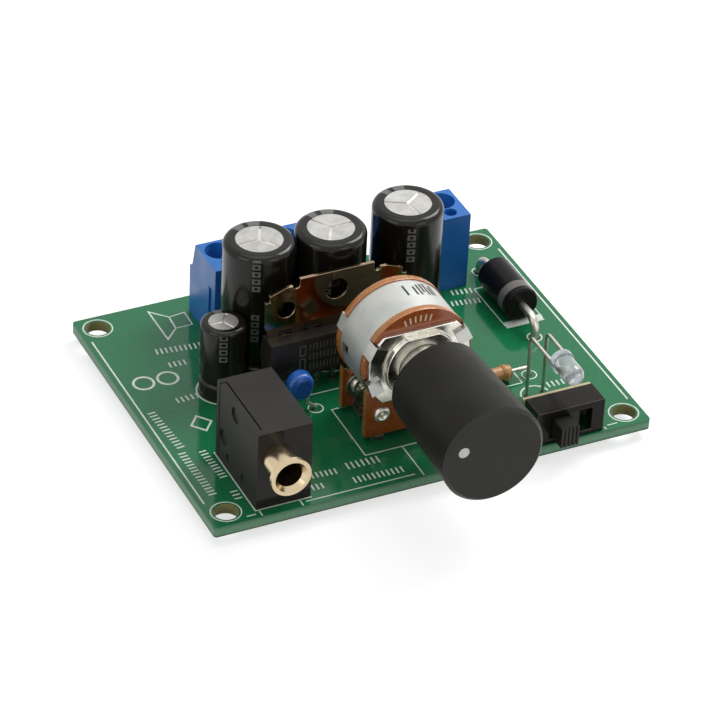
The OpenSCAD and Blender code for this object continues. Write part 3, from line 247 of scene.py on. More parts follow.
@dataclass(frozen=True)
class Finish:
    """A surface: what it is made of, and how it was made.

    Args:
        name: The material and process, used as the material's name.
        color: Base colour as sRGB hex.
        roughness: Microscopic roughness of the surface.
        metallic: 1 for bare metal, 0 for the rest.
        ior: Index of refraction of what isn't metal.
        specular: Strength of its mirror reflection, 0.5 if polished and less if matt.
        shade: Second colour that the base colour drifts to, if any.
        shade_mm: Size of the patches in which the colour drifts.
        grain_mm: Size of the fine surface grain.
        grain_depth: Depth of that grain.
        stretch: How much longer the grain is along each axis.
        scuff: How much the roughness varies from patch to patch.
        coat: Weight of a clear glossy skin.
        coat_roughness: Roughness of that skin.
        clear: Share of the light that goes through.
    """

    name: str
    color: str
    roughness: float
    metallic: float = 0.0
    ior: float = 1.5
    specular: float = 0.5
    shade: str = ""
    shade_mm: float = 4.0
    grain_mm: float = 0.1
    grain_depth: float = 0.004
    stretch: tuple[float, float, float] = (1.0, 1.0, 1.0)
    scuff: float = 0.06
    coat: float = 0.0
    coat_roughness: float = 0.1
    clear: float = 0.0

    def material(self) -> bpy.types.Material:
        """Gives the finish's material, made on first use."""
        return bpy.data.materials.get(self.name) or self._build()

    def _build(self) -> bpy.types.Material:
        """Makes the material: plain values first, then the patterns that go over them.

        Returns:
            The new material.
        """
        made = bpy.data.materials.new(self.name)
        tree = cleared(made)
        shader = add_node(tree, "ShaderNodeBsdfPrincipled", {
            "Base Color": linear(self.color), "Roughness": self.roughness,
            "Metallic": self.metallic, "Coat Weight": self.coat,
            "Coat Roughness": self.coat_roughness, "Transmission Weight": self.clear})
        if not self.metallic:
            shader.inputs["IOR"].default_value = self.ior
            shader.inputs["Specular IOR Level"].default_value = self.specular
        add_node(tree, "ShaderNodeOutputMaterial", {"Surface": shader.outputs["BSDF"]})
        pattern = Pattern(tree, self.stretch)
        for name, socket in (
                ("Base Color", self.paint(pattern)), ("Roughness", self.gloss(pattern)),
                ("Normal", self.relief(pattern)), ("Specular IOR Level", self.mirror(pattern))):
            if socket:
                tree.links.new(socket, shader.inputs[name])
        return made

    def drift(self, pattern: Pattern) -> Socket:
        """Gives the base colour drifting evenly to its shade."""
        return pattern.blend(pattern.noise(self.shade_mm), self.color, self.shade)

    def paint(self, pattern: Pattern) -> Socket | None:
        """Lets the base colour drift to its shade in patches.

        Args:
            pattern: The patterns of the material.

        Returns:
            The colour, or None where it is the same all over.
        """
        if not self.shade:
            return None
        patches = pattern.ramp(pattern.noise(self.shade_mm), 0.35, 0.7)
        return pattern.blend(patches, self.color, self.shade)

    def gloss(self, pattern: Pattern) -> Socket:
        """Gives the roughness, a little uneven."""
        smooth, rough = max(self.roughness - self.scuff, 0.02), self.roughness + self.scuff
        return pattern.remap(pattern.noise(self.shade_mm / 2), smooth, rough, 0.3, 0.7)

    def relief(self, pattern: Pattern) -> Socket:
        """Gives the normal, bent by the fine grain."""
        return pattern.bump(pattern.noise(self.grain_mm, 4.0), self.grain_depth)

    def mirror(self, pattern: Pattern) -> Socket | None:
        """Gives the specular level, or None where it is the same all over."""


@dataclass(frozen=True)
class MaskedLaminate(Finish):
    """Glass-fibre laminate under green solder mask: glossy faces, pale cut edges, drilled walls.

    Args:
        edge: Colour of the cut edges, where light comes through the laminate.
        edge_dark: Colour of the darker plies in them.
        edge_head: Colour of the edges just under the mask.
        edge_foot: Colour of their lower rim, darker.
        edge_specular: Specular level of the edges, which have no mask.
        ply_mm: Size of the patches in them.
        wall: Colour of the walls of the drilled holes.
        inside: Half the width and half the depth of the board, less a little, inside which a wall
            belongs to a hole.
        head_z: Heights at which an edge starts to darken and is darkest under the mask.
        foot_z: Heights at which it starts to darken and is darkest at its lower rim.
    """

    edge: str = "#86b092"
    edge_dark: str = "#74a583"
    edge_head: str = "#5f8f70"
    edge_foot: str = "#56624f"
    edge_specular: float = 0.04
    ply_mm: float = 0.25
    wall: str = "#8d8a5c"
    inside: Point = (32.6, 25.4)
    head_z: Point = (0.9, 1.6)
    foot_z: Point = (0.34, 0.06)

    def masked(self, pattern: Pattern) -> Socket:
        """Gives 1 on the faces under the mask and 0 on edges and walls."""
        return pattern.facing(Axis.Z, 0.4, 0.6)

    def paint(self, pattern: Pattern) -> Socket:
        """Paints green faces with the weave just showing, pale edges and tan hole walls.

        Args:
            pattern: The patterns of the material.

        Returns:
            The base colour.
        """
        weave = pattern.ramp(pattern.noise(self.shade_mm, 2.0), 0.3, 0.7)
        plies = pattern.ramp(pattern.noise(self.ply_mm, 2.0), 0.35, 0.65)
        height = pattern.along(Axis.Z)
        cut = pattern.blend(plies, self.edge, self.edge_dark)
        cut = pattern.blend(pattern.ramp(height, *self.head_z), cut, self.edge_head)
        cut = pattern.blend(pattern.ramp(height, *self.foot_z), cut, self.edge_foot)
        inner = pattern.math("MULTIPLY", *(
            pattern.math("LESS_THAN", pattern.math("ABSOLUTE", pattern.along(axis)), reach)
            for axis, reach in zip((Axis.X, Axis.Y), self.inside)))
        return pattern.blend(self.masked(pattern), pattern.blend(inner, cut, self.wall),
                             pattern.blend(weave, self.color, self.shade))

    def mirror(self, pattern: Pattern) -> Socket:
        """Takes the mask's reflection from the cut edges."""
        return pattern.remap(self.masked(pattern), self.edge_specular, self.specular)


@dataclass(frozen=True)
class PrintedSleeve(Finish):
    """Dark heat-shrunk sleeve with grey print: a stripe down one side and a column of boxes.

    Args:
        ink: Colour of the print.
        center: Place of the can's axis.
        stripes: Between which angles round the axis each grey stripe runs.
        column: Between which angles round the axis the column of boxes runs.
        column_z: Heights of the foot and head of the column's two parts.
        box_mm: Distance from one box of the column to the next.
        box_span: Start and end of a box, as shares of that distance.
        hollow_span: Start and end of the hollow in it, likewise.
        side_deg: Width of a box's two sides, as an angle round the axis.
    """

    ink: str = "#686968"
    center: Point = (0.0, 0.0)
    stripes: Points = ()
    column: Point = (-124.0, -112.0)
    column_z: Points = ()
    box_mm: float = 1.2
    box_span: Point = (0.1, 0.86)
    hollow_span: Point = (0.32, 0.64)
    side_deg: float = 4.0

    def paint(self, pattern: Pattern) -> Socket:
        """Paints the dark sleeve and its print.

        Args:
            pattern: The patterns of the material.

        Returns:
            The base colour.
        """
        x, y = (pattern.math("SUBTRACT", pattern.along(axis), place)
                for axis, place in zip((Axis.X, Axis.Y), self.center))
        z = pattern.along(Axis.Z)
        angle = pattern.math("DEGREES", pattern.math("ARCTAN2", y, x))
        step = pattern.math("FRACT", pattern.math("DIVIDE", z, self.box_mm))
        start, end = self.column
        box = pattern.math("MULTIPLY", pattern.within(angle, start, end, 0.6),
                           pattern.within(step, *self.box_span, 0.04))
        start, end = start + self.side_deg, end - self.side_deg
        hollow = pattern.math("MULTIPLY", pattern.within(angle, start, end, 0.6),
                              pattern.within(step, *self.hollow_span, 0.04))
        rows = pattern.math(
            "MAXIMUM", *(pattern.within(z, low, high, 0.05) for low, high in self.column_z))
        printed = pattern.math("MULTIPLY", pattern.math("SUBTRACT", box, hollow), rows)
        for low, high in self.stripes:
            printed = pattern.math("MAXIMUM", printed, pattern.within(angle, low, high, 0.8))
        return pattern.blend(printed, self.drift(pattern), self.ink)


@dataclass(frozen=True)
class PunchedPhenolic(Finish):
    """Phenolic paper board: glossy faces and pale fibrous edges where it was punched.

    Args:
        edge: Colour of the punched edges.
        torn: Colour of the torn fibres in them.
        fibre_mm: Size of the fibres.
    """

    edge: str = "#b5763a"
    torn: str = "#a5662c"
    fibre_mm: float = 0.3
    coat: float = 0.3
    coat_roughness: float = 0.12

    def paint(self, pattern: Pattern) -> Socket:
        """Paints plain faces and pale edges with dark torn fibres.

        Args:
            pattern: The patterns of the material.

        Returns:
            The base colour.
        """
        fibres = pattern.ramp(pattern.noise(self.fibre_mm), 0.42, 0.62)
        return pattern.blend(pattern.facing(Axis.Y, 0.5, 0.8),
                             pattern.blend(fibres, self.edge, self.torn), self.drift(pattern))


@dataclass(frozen=True)
class SparkedPlastic(Finish):
    """Plastic moulded in a spark-eroded tool: matt grainy sides and a polished front.

    Args:
        front_roughness: Roughness of the polished front.
    """

    front_roughness: float = 0.12

    def front(self, pattern: Pattern) -> Socket:
        """Gives 1 on the front and 0 on the sides."""
        return pattern.facing(Axis.Y, 0.8, 0.95)

    def gloss(self, pattern: Pattern) -> Socket:
        """Gives a polished front and rough sides."""
        return pattern.remap(self.front(pattern), self.roughness, self.front_roughness)

    def relief(self, pattern: Pattern) -> Socket:
        """Puts the spark grain everywhere but on the front.

        Args:
            pattern: The patterns of the material.

        Returns:
            The normal.
        """
        rough = pattern.math("SUBTRACT", 1.0, self.front(pattern))
        return pattern.bump(pattern.math("MULTIPLY", pattern.noise(self.grain_mm, 4.0), rough),
                            self.grain_depth)


@dataclass(frozen=True)
class RingedSkin(Finish):
    """A skin with painted rings across the length of a body.

    Args:
        axis: The axis along which the body lies.
        origin: Place along it from which the rings are measured.
        rings: For each ring, its place, its width and its colour.
    """

    axis: Axis = Axis.X
    origin: float = 0.0
    rings: tuple[tuple[float, float, str], ...] = ()

    def paint(self, pattern: Pattern) -> Socket:
        """Paints the skin and its rings.

        Args:
            pattern: The patterns of the material.

        Returns:
            The base colour.
        """
        along = pattern.along(self.axis)
        color = self.drift(pattern)
        for offset, width, ring in self.rings:
            start = self.origin + offset - width / 2
            color = pattern.blend(pattern.within(along, start, start + width, 0.03), color, ring)
        return color


@dataclass(frozen=True)
class PlasticWithPaintedFaceShading(Finish):
    """Moulded plastic with painted light and shade on its end faces, and a rubbed, shining rim round
    them.

    Args:
        face: Colour painted on the faces that look along Y, standing in for the light or shade
            there.
        rim_specular: Specular level of the rim.
        face_span: How squarely a surface looks along Y where the face's colour starts and is full.
        rim_span: How squarely it looks along Y at the two sides of the rim.
    """

    face: str = "#43423d"
    rim_specular: float = 0.28
    face_span: Point = (0.9, 0.98)
    rim_span: Point = (0.3, 0.93)

    def paint(self, pattern: Pattern) -> Socket:
        """Gives the plastic with painted light and shade on its end faces."""
        return pattern.blend(pattern.facing(Axis.Y, *self.face_span), super().paint(pattern),
                             self.face)

    def mirror(self, pattern: Pattern) -> Socket:
        """Lets the rim shine."""
        rim = pattern.within(pattern.facing(Axis.Y, 0.0, 1.0), *self.rim_span, 0.03)
        return pattern.remap(rim, self.specular, self.rim_specular)


@dataclass(frozen=True)
class SlottedScrew(Finish):
    """Plated screw with painted shade down inside its slot.

    Args:
        head: Height of the head's top.
        slot: Colour of the painted shade down in the slot.
        slot_drop: How far below the head's top it starts to darken and is darkest.
    """

    head: float = 0.0
    slot: str = "#3f4143"
    slot_drop: Point = (0.1, 0.5)

    def paint(self, pattern: Pattern) -> Socket:
        """Paints the plating, with painted shade from just below the head's top.

        Args:
            pattern: The patterns of the material.

        Returns:
            The base colour.
        """
        start, end = (self.head - drop for drop in self.slot_drop)
        # painted shade: the plating darkens from just below the head's top down into the slot
        below = pattern.ramp(pattern.along(Axis.Z), start, end)
        return pattern.blend(below, self.drift(pattern), self.slot)


@dataclass(frozen=True)
class FoldedSheet(Finish):
    """Plated sheet, dull on its body and burnished on the tabs that a tool folded over.

    Args:
        tabs: Place along Y in front of which the tabs start.
        tab_roughness: Roughness of the tabs.
        tab_fade: Distance over which the body turns to a tab.
    """

    tabs: float = 0.0
    tab_roughness: float = 0.22
    tab_fade: float = 0.3

    def gloss(self, pattern: Pattern) -> Socket:
        """Gives the dull body and the burnished tabs."""
        tab = pattern.ramp(pattern.along(Axis.Y), self.tabs, self.tabs - self.tab_fade)
        return pattern.remap(tab, super().gloss(pattern), self.tab_roughness)


# Glass-fibre laminate, sprayed solder mask: deep green gloss over a faint weave
MASK = MaskedLaminate(
    "green_mask_on_glass_laminate", "#176d43", 0.1, shade="#197247", shade_mm=0.6, grain_mm=2.5,
    grain_depth=0.002, specular=0.4, scuff=0.02)
# Screen-printed epoxy ink: flat white, a little uneven
INK = Finish(
    "white_screen_printed_ink", "#dce4da", 0.6, shade="#cbd6ca", shade_mm=1.2, grain_mm=0.15,
    grain_depth=0.004, specular=0.3)
# Tin solder, wave-soldered: bright, cooled with faint frost
SOLDER = Finish(
    "tin_solder_wave_soldered", "#bfc0bf", 0.24, metallic=1.0, shade="#a4a6a6", shade_mm=0.8,
    grain_mm=0.3, grain_depth=0.012)
# Aluminium sheet, deep drawn: pale satin, fine drawing marks
DRAWN_ALUMINIUM = Finish(
    "aluminium_deep_drawn", "#e6e4de", 0.3, metallic=1.0, shade="#d6d4ce", shade_mm=1.5,
    grain_mm=0.12, grain_depth=0.004)
# Aluminium sheet between the scored lines: matte, its colour a greyer copy of the can's as painted
# shade, so the lines read brighter
SHADED_VENT_FACE = Finish(
    "aluminium_matte_with_painted_shade", "#b9b8b4", 0.44, metallic=1.0, shade="#a9a8a4", shade_mm=1.2,
    grain_mm=0.12, grain_depth=0.006)
# PET sleeve, heat shrunk: near-black gloss with long soft waves
SLEEVE = PrintedSleeve(
    "pet_sleeve_heat_shrunk", "#14120d", 0.17, shade="#191712", shade_mm=3.0, grain_mm=1.6,
    grain_depth=0.005, specular=0.28, scuff=0.03)
# Butyl rubber, moulded: dull black
BUTYL = Finish(
    "butyl_rubber_moulded", "#242424", 0.75, shade="#2c2c2c", grain_mm=0.12, grain_depth=0.01,
    specular=0.2)
# Copper wire, tinned: pale satin with long drawing marks
TINNED_WIRE = Finish(
    "copper_wire_tinned", "#c9c6be", 0.34, metallic=1.0, shade="#b2aea5", shade_mm=1.0,
    grain_mm=0.15, grain_depth=0.0008, stretch=(1.0, 1.0, 4.0), scuff=0.03)
# Copper strip, stamped and tinned: pale satin, a little clouded
TINNED_STRIP = Finish(
    "copper_strip_tinned", "#c6c3ba", 0.3, metallic=1.0, shade="#a9a59b", shade_mm=0.9,
    grain_mm=0.12, grain_depth=0.004)
# Nylon 66, injection moulded: clear blue, soft sheen with fine grain
NYLON = Finish(
    "nylon_66_moulded_blue", "#226dbb", 0.36, shade="#1f67b2", shade_mm=6.0, grain_mm=0.09,
    grain_depth=0.003, ior=1.53, specular=0.4)
# Steel screw, zinc plated: cool grey satin, with painted shade down in its slot
ZINC_SCREW = SlottedScrew(
    "steel_screw_zinc_plated", "#b5b8bb", 0.3, metallic=1.0, shade="#95989c", shade_mm=0.8,
    grain_mm=0.12, grain_depth=0.006, head=10.9)
# Brass, stamped: warm yellow satin
BRASS = Finish(
    "brass_stamped", "#c9a65a", 0.28, metallic=1.0, shade="#b08f48", shade_mm=0.8, grain_mm=0.1,
    grain_depth=0.005)
# Epoxy, transfer moulded: charcoal black with matt grain
EPOXY = Finish(
    "epoxy_transfer_moulded", "#23211f", 0.42, shade="#292725", shade_mm=2.5, grain_mm=0.09,
    grain_depth=0.005, specular=0.28)
# Laser mark in the epoxy: dull grey
LASER_MARK = Finish(
    "laser_mark_in_epoxy", "#62615e", 0.6, shade="#555451", shade_mm=0.8, grain_mm=0.08,
    grain_depth=0.004, specular=0.2)
# Stamping ink on the zinc: dull black, worn
DARK_INK = Finish(
    "stamping_ink_dark", "#3c3c3a", 0.6, shade="#585856", shade_mm=0.5, grain_mm=0.1,
    grain_depth=0.003, specular=0.2)
# Screen-printed ink on the phenolic: cream
CREAM_INK = Finish(
    "cream_screen_printed_ink", "#e6d6bd", 0.55, shade="#d8c6aa", shade_mm=0.6, grain_mm=0.1,
    grain_depth=0.003, specular=0.3)
# Copper alloy leadframe, rolled and tinned: a mirror with rolling lines, tinted warm brown as a
# painted reflection of the pot's brown wafer
ROLLED_FIN = Finish(
    "copper_alloy_rolled_tinned", "#a8937b", 0.11, metallic=1.0, shade="#9a8468", shade_mm=3.0,
    grain_mm=0.12, grain_depth=0.001, stretch=(14.0, 1.0, 1.0), scuff=0.04)
# Brass, rolled over and tinned: a bright, smooth rim round each hollow
RIVET_BRASS = Finish("brass_rivet_tinned", "#dcd8cc", 0.32, metallic=1.0, scuff=0.04)
# Steel sheet, zinc plated: pale grey-white, clouded and nearly matte but for its folded tabs
ZINC_PLATE = FoldedSheet(
    "steel_sheet_zinc_plated", "#b9bab4", 0.5, metallic=1.0, shade="#acafad", shade_mm=3.5,
    grain_mm=0.16, grain_depth=0.002, scuff=0.06, tabs=-14.7)
# Zinc alloy, die cast and plated: bright grey with soft waves
DIE_CAST = Finish(
    "zinc_alloy_die_cast", "#dddbd2", 0.2, metallic=1.0, shade="#c8c5bb", shade_mm=2.0,
    grain_mm=0.6, grain_depth=0.004, scuff=0.05)
# Phenolic paper laminate, punched: glossy chestnut faces, pale torn edges
PHENOLIC = PunchedPhenolic(
    "phenolic_paper_punched", "#a85420", 0.26, shade="#964818", shade_mm=2.5, grain_mm=0.12,
    grain_depth=0.003, ior=1.55, specular=0.4)
# Phenolic paper laminate of the switch: plain tan
TAN_PHENOLIC = PunchedPhenolic(
    "phenolic_paper_tan", "#a58f66", 0.4, shade="#97825a", shade_mm=1.5, grain_mm=0.12,
    grain_depth=0.004, ior=1.55, specular=0.3, edge="#c2b28c", torn="#b3a27c")
# Acetal, moulded: pale, waxy
ACETAL = Finish(
    "acetal_moulded_natural", "#d6d0bf", 0.45, shade="#cbc5b4", grain_mm=0.1, grain_depth=0.004)
# Aluminium bar, turned: pale with turning marks
TURNED_ALUMINIUM = Finish(
    "aluminium_bar_turned", "#c9cacb", 0.28, metallic=1.0, shade="#b0b1b2", shade_mm=1.0,
    grain_mm=0.1, grain_depth=0.005, stretch=(4.0, 1.0, 4.0))
# ABS, moulded in a satin tool: soft black with a velvety grain, its face painted paler as painted
# sheen from the light
ABS_BLACK = PlasticWithPaintedFaceShading(
    "abs_moulded_satin_black", "#25241f", 0.44, shade="#292823", shade_mm=5.0, grain_mm=0.08,
    grain_depth=0.003, ior=1.52, specular=0.07)
# Acrylic ink, pad printed in the recess: opaque white
DOT_WHITE = Finish(
    "white_pad_printed_ink", "#eceae6", 0.4, shade="#e2e0dc", shade_mm=0.6, grain_mm=0.15,
    grain_depth=0.004)
# PBT, moulded in a spark-eroded tool: matt charcoal, polished front
PBT_JACK = SparkedPlastic(
    "pbt_moulded_spark_eroded", "#2a2826", 0.5, shade="#2f2d2b", shade_mm=4.0, grain_mm=0.1,
    grain_depth=0.012, ior=1.56, specular=0.12)
# Brass, turned and nickel plated: warm beige satin
NICKEL = Finish(
    "brass_turned_nickel_plated", "#d2bf9f", 0.22, metallic=1.0, shade="#d0bd99", shade_mm=1.0,
    grain_mm=0.4, grain_depth=0.0005, scuff=0.03)
# Nylon, moulded in a polished tool: glossy black with shining edges, its front painted darker as
# painted shade
NYLON_BLACK = PlasticWithPaintedFaceShading(
    "nylon_moulded_black", "#25221d", 0.2, shade="#292621", shade_mm=2.0, grain_mm=0.12,
    grain_depth=0.001, ior=1.53, specular=0.1, scuff=0.02, face="#201d18", rim_specular=0.9)
# Epoxy, cast clear: milky water-white
LENS = Finish(
    "epoxy_cast_clear", "#dfe6e8", 0.1, shade="#d3dcdf", shade_mm=1.0, grain_mm=0.4,
    grain_depth=0.002, ior=1.54, clear=0.66)
# Ceramic disc, dipped in epoxy: wet-looking blue
BLUE_DIP = Finish(
    "epoxy_dipped_blue", "#1f5fb8", 0.3, shade="#1b54a6", shade_mm=1.2, grain_mm=0.8,
    grain_depth=0.006, specular=0.4, coat=0.3, coat_roughness=0.06)
# Epoxy, moulded round the diode: glossy black with a grey ring
DIODE_EPOXY = RingedSkin(
    "epoxy_on_diode", "#161514", 0.26, specular=0.12, shade="#1a1918", shade_mm=1.5,
    grain_depth=0.001, scuff=0.02, axis=Axis.Y, rings=((1.85, 1.5, "#6f6c69"),))
# Lacquer on the resistor: tan gloss with brushed colour rings
LACQUER = RingedSkin(
    "lacquer_on_resistor", "#bd8a58", 0.35, shade="#b07a4a", shade_mm=1.0, specular=0.4, coat=0.3,
    rings=((-2.3, 0.5, "#6b3a1c"), (-1.1, 0.5, "#151515"), (0.1, 0.5, "#a33a1e"),
           (2.3, 0.5, "#a8803a")))


def dress(node: str, finish: Finish, bevel: float = 0.0) -> None:
    """Gives a CAD node its finish, and breaks its sharp edges.

    Args:
        node: The CAD node's name.
        finish: The finish to put on it.
        bevel: Width of the broken edges, or 0 for none.
    """
    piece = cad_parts[node]
    piece.data.materials.clear()
    piece.data.materials.append(finish.material())
    if bevel:
        weld = piece.modifiers.new("weld", "WELD")
        weld.merge_threshold = WELD_MM * MM
        edge = piece.modifiers.new("broken_edges", "BEVEL")
        edge.width = bevel * MM
        edge.segments = 2
        edge.limit_method = "ANGLE"
        edge.angle_limit = math.radians(BEVEL_DEG)
        edge.use_clamp_overlap = True
        edge.harden_normals = True
    LOG.info("dressed %s with %s", node, finish.name)


def place_object(name: str, data: bpy.types.ID) -> bpy.types.Object:
    """Puts an object in the scene.

    Args:
        name: Name of the object.
        data: Its mesh, lamp or camera.

    Returns:
        The new object.
    """
    made = bpy.data.objects.new(name, data)
    bpy.context.scene.collection.objects.link(made)
    return made


def polar(radius: float, angle_deg: float, center: Sequence[float] = (0.0, 0.0)) -> Vector:
    """Gives the point at an angle on a circle."""
    angle = math.radians(angle_deg)
    return Vector((center[0] + radius * math.cos(angle), center[1] + radius * math.sin(angle)))


class MeshMaker:
    """Collects solids in millimetres and turns them into one object in metres."""

    def __init__(self, place: Placer = lambda *point: Vector(point), low: float = 0.0,
                 high: float = 0.0) -> None:
        """Starts an empty mesh.

        Args:
            place: Puts (u, v, height) in the part.
            low: Height of the underside of flat shapes.
            high: Height of their top.
        """
        self.bm = bmesh.new()
        self.place = place
        self.low = low
        self.high = high

    def ring_of(self, points: Sequence[tuple[float, float, float]]) -> list[bmesh.types.BMVert]:
        """Adds a vertex at each (u, v, height)."""
        return [self.bm.verts.new(self.place(*point)) for point in points]

    def walls(self, first: Sequence[bmesh.types.BMVert],
              second: Sequence[bmesh.types.BMVert]) -> None:
        """Adds the faces between two rings of as many vertices.

        Args:
            first: Vertices of one ring.
            second: Vertices of the other, in the same order.
        """
        for i, start in enumerate(first):
            after = (i + 1) % len(first)
            self.bm.faces.new([start, first[after], second[after], second[i]])

    def prism(self, outline: Sequence[Point], high: float | None = None) -> None:
        """Adds a solid between two copies of a closed outline.

        Args:
            outline: Corners of the outline in the order of a left turn.
            high: Height of its top, where it isn't that of the rest.
        """
        top = self.high if high is None else high
        lower = self.ring_of([(u, v, self.low) for u, v in outline])
        upper = self.ring_of([(u, v, top) for u, v in outline])
        self.bm.faces.new(list(reversed(lower)))
        self.bm.faces.new(upper)
        self.walls(lower, upper)

    def stroke(self, path: Sequence[Point], width: float, closed: bool = False) -> None:
        """Adds a flat line of even width along a path, with mitred corners.

        Args:
            path: Points of the line's middle.
            width: Width of the line.
            closed: Whether the line comes back to its start.
        """
        points = [Vector(p) for p in path]
        count = len(points)
        rings = []
        for i, point in enumerate(points):
            ways = []
            if closed or i:
                ways.append((point - points[i - 1]).normalized())
            if closed or i < count - 1:
                ways.append((points[(i + 1) % count] - point).normalized())
            across = [Vector((-w.y, w.x)) for w in ways]
            mitre = sum(across, Vector((0, 0))).normalized()
            reach = mitre * width / 2 / max(mitre.dot(across[0]), MITRE_MIN)
            left, right = point + reach, point - reach
            rings.append(self.ring_of([(*left, self.low), (*right, self.low), (*right, self.high),
                                       (*left, self.high)]))
        for i in range(count if closed else count - 1):
            self.walls(rings[(i + 1) % count], rings[i])
        if not closed:
            self.bm.faces.new(rings[0])
            self.bm.faces.new(list(reversed(rings[-1])))

    def ring(self, center: Point, radius: float, width: float, start_deg: float = 0.0,
             turn_deg: float = 360.0, steps: int = 48) -> None:
        """Adds a flat circular line, whole or in part.

        Args:
            center: Middle of the circle.
            radius: Radius of the line's middle.
            width: Width of the line.
            start_deg: Angle where it starts.
            turn_deg: Angle that it covers.
            steps: Number of straight pieces in it.
        """
        whole = turn_deg >= 360
        self.stroke([polar(radius, start_deg + turn_deg * i / steps, center)
                     for i in range(steps + (not whole))], width, closed=whole)

    def bars(self, start: Point, end: Point, tall: float, width: float, step: float) -> None:
        """Adds a row of plain bars that stand across it.

        Args:
            start: Middle of the first bar.
            end: Middle of the last bar.
            tall: Height of a bar.
            width: Width of a bar.
            step: Distance from one bar to the next, about.
        """
        way = Vector(end) - Vector(start)
        count = max(round(way.length / step), 1)
        up = Vector((-way.y, way.x)).normalized() * tall / 2
        for i in range(count + 1):
            spot = Vector(start) + way * i / count
            self.stroke([spot - up, spot + up], width)

    def lathe(self, profile: Sequence[Point], spot: Vector, steps: int = 40) -> None:
        """Adds a solid turned about a line along Y, from a half outline that starts and ends on it.

        Args:
            profile: (radius, distance along the line) points; the first and last radius are 0.
            spot: Where the line starts.
            steps: Number of flats round it.
        """
        self.place = lambda u, v, along: spot + Vector((u, along, v))
        (first,), (last,) = (self.ring_of([(0, 0, profile[i][1])]) for i in (0, -1))
        rings = [self.ring_of([(*polar(radius, 360 * i / steps), along) for i in range(steps)])
                 for radius, along in profile[1:-1]]
        for low, high in zip(rings, rings[1:]):
            self.walls(low, high)
        for i in range(steps):
            after = (i + 1) % steps
            self.bm.faces.new([first, rings[0][after], rings[0][i]])
            self.bm.faces.new([last, rings[-1][i], rings[-1][after]])

    def finish(self, name: str, finish: Finish, body: str, slot: str) -> bpy.types.Object:
        """Makes the object, gives it its finish and lets it ride on its body.

        Args:
            name: Name of the piece.
            finish: The finish to put on it.
            body: The body that it moves with.
            slot: The record's material slot; not used.

        Returns:
            The new object.
        """
        bmesh.ops.recalc_face_normals(self.bm, faces=self.bm.faces)
        bmesh.ops.scale(self.bm, vec=(MM, MM, MM), verts=self.bm.verts)
        mesh = bpy.data.meshes.new(name)
        self.bm.to_mesh(mesh)
        self.bm.free()
        mesh.materials.append(finish.material())
        mesh.shade_smooth()
        mesh.set_sharp_from_angle(angle=math.radians(SMOOTH_DEG))
        piece = place_object(name, mesh)
        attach(piece, body)
        LOG.info("made %s on %s", name, body)
        return piece


def corners(node: str) -> tuple[Vector, Vector]:
    """Gives a CAD node's lowest and highest corners in millimetres."""
    low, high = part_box(node)
    return low / MM, high / MM


def middle(node: str) -> Vector:
    """Gives the middle of a CAD node's box in millimetres."""
    low, high = corners(node)
    return (low + high) / 2


class Assembly:
    """A group of pieces that are made and finished together.

    Its finishes name each node's finish and the width of its broken edges.
    """

    finishes: ClassVar[Mapping[str, tuple[Finish, float]]] = {}

    def build(self) -> None:
        """Makes what only the visual model has; here nothing."""

    def dress(self) -> None:
        """Puts each node's finish on it."""
        for node, (finish, bevel) in self.finishes.items():
            dress(node, finish, bevel)


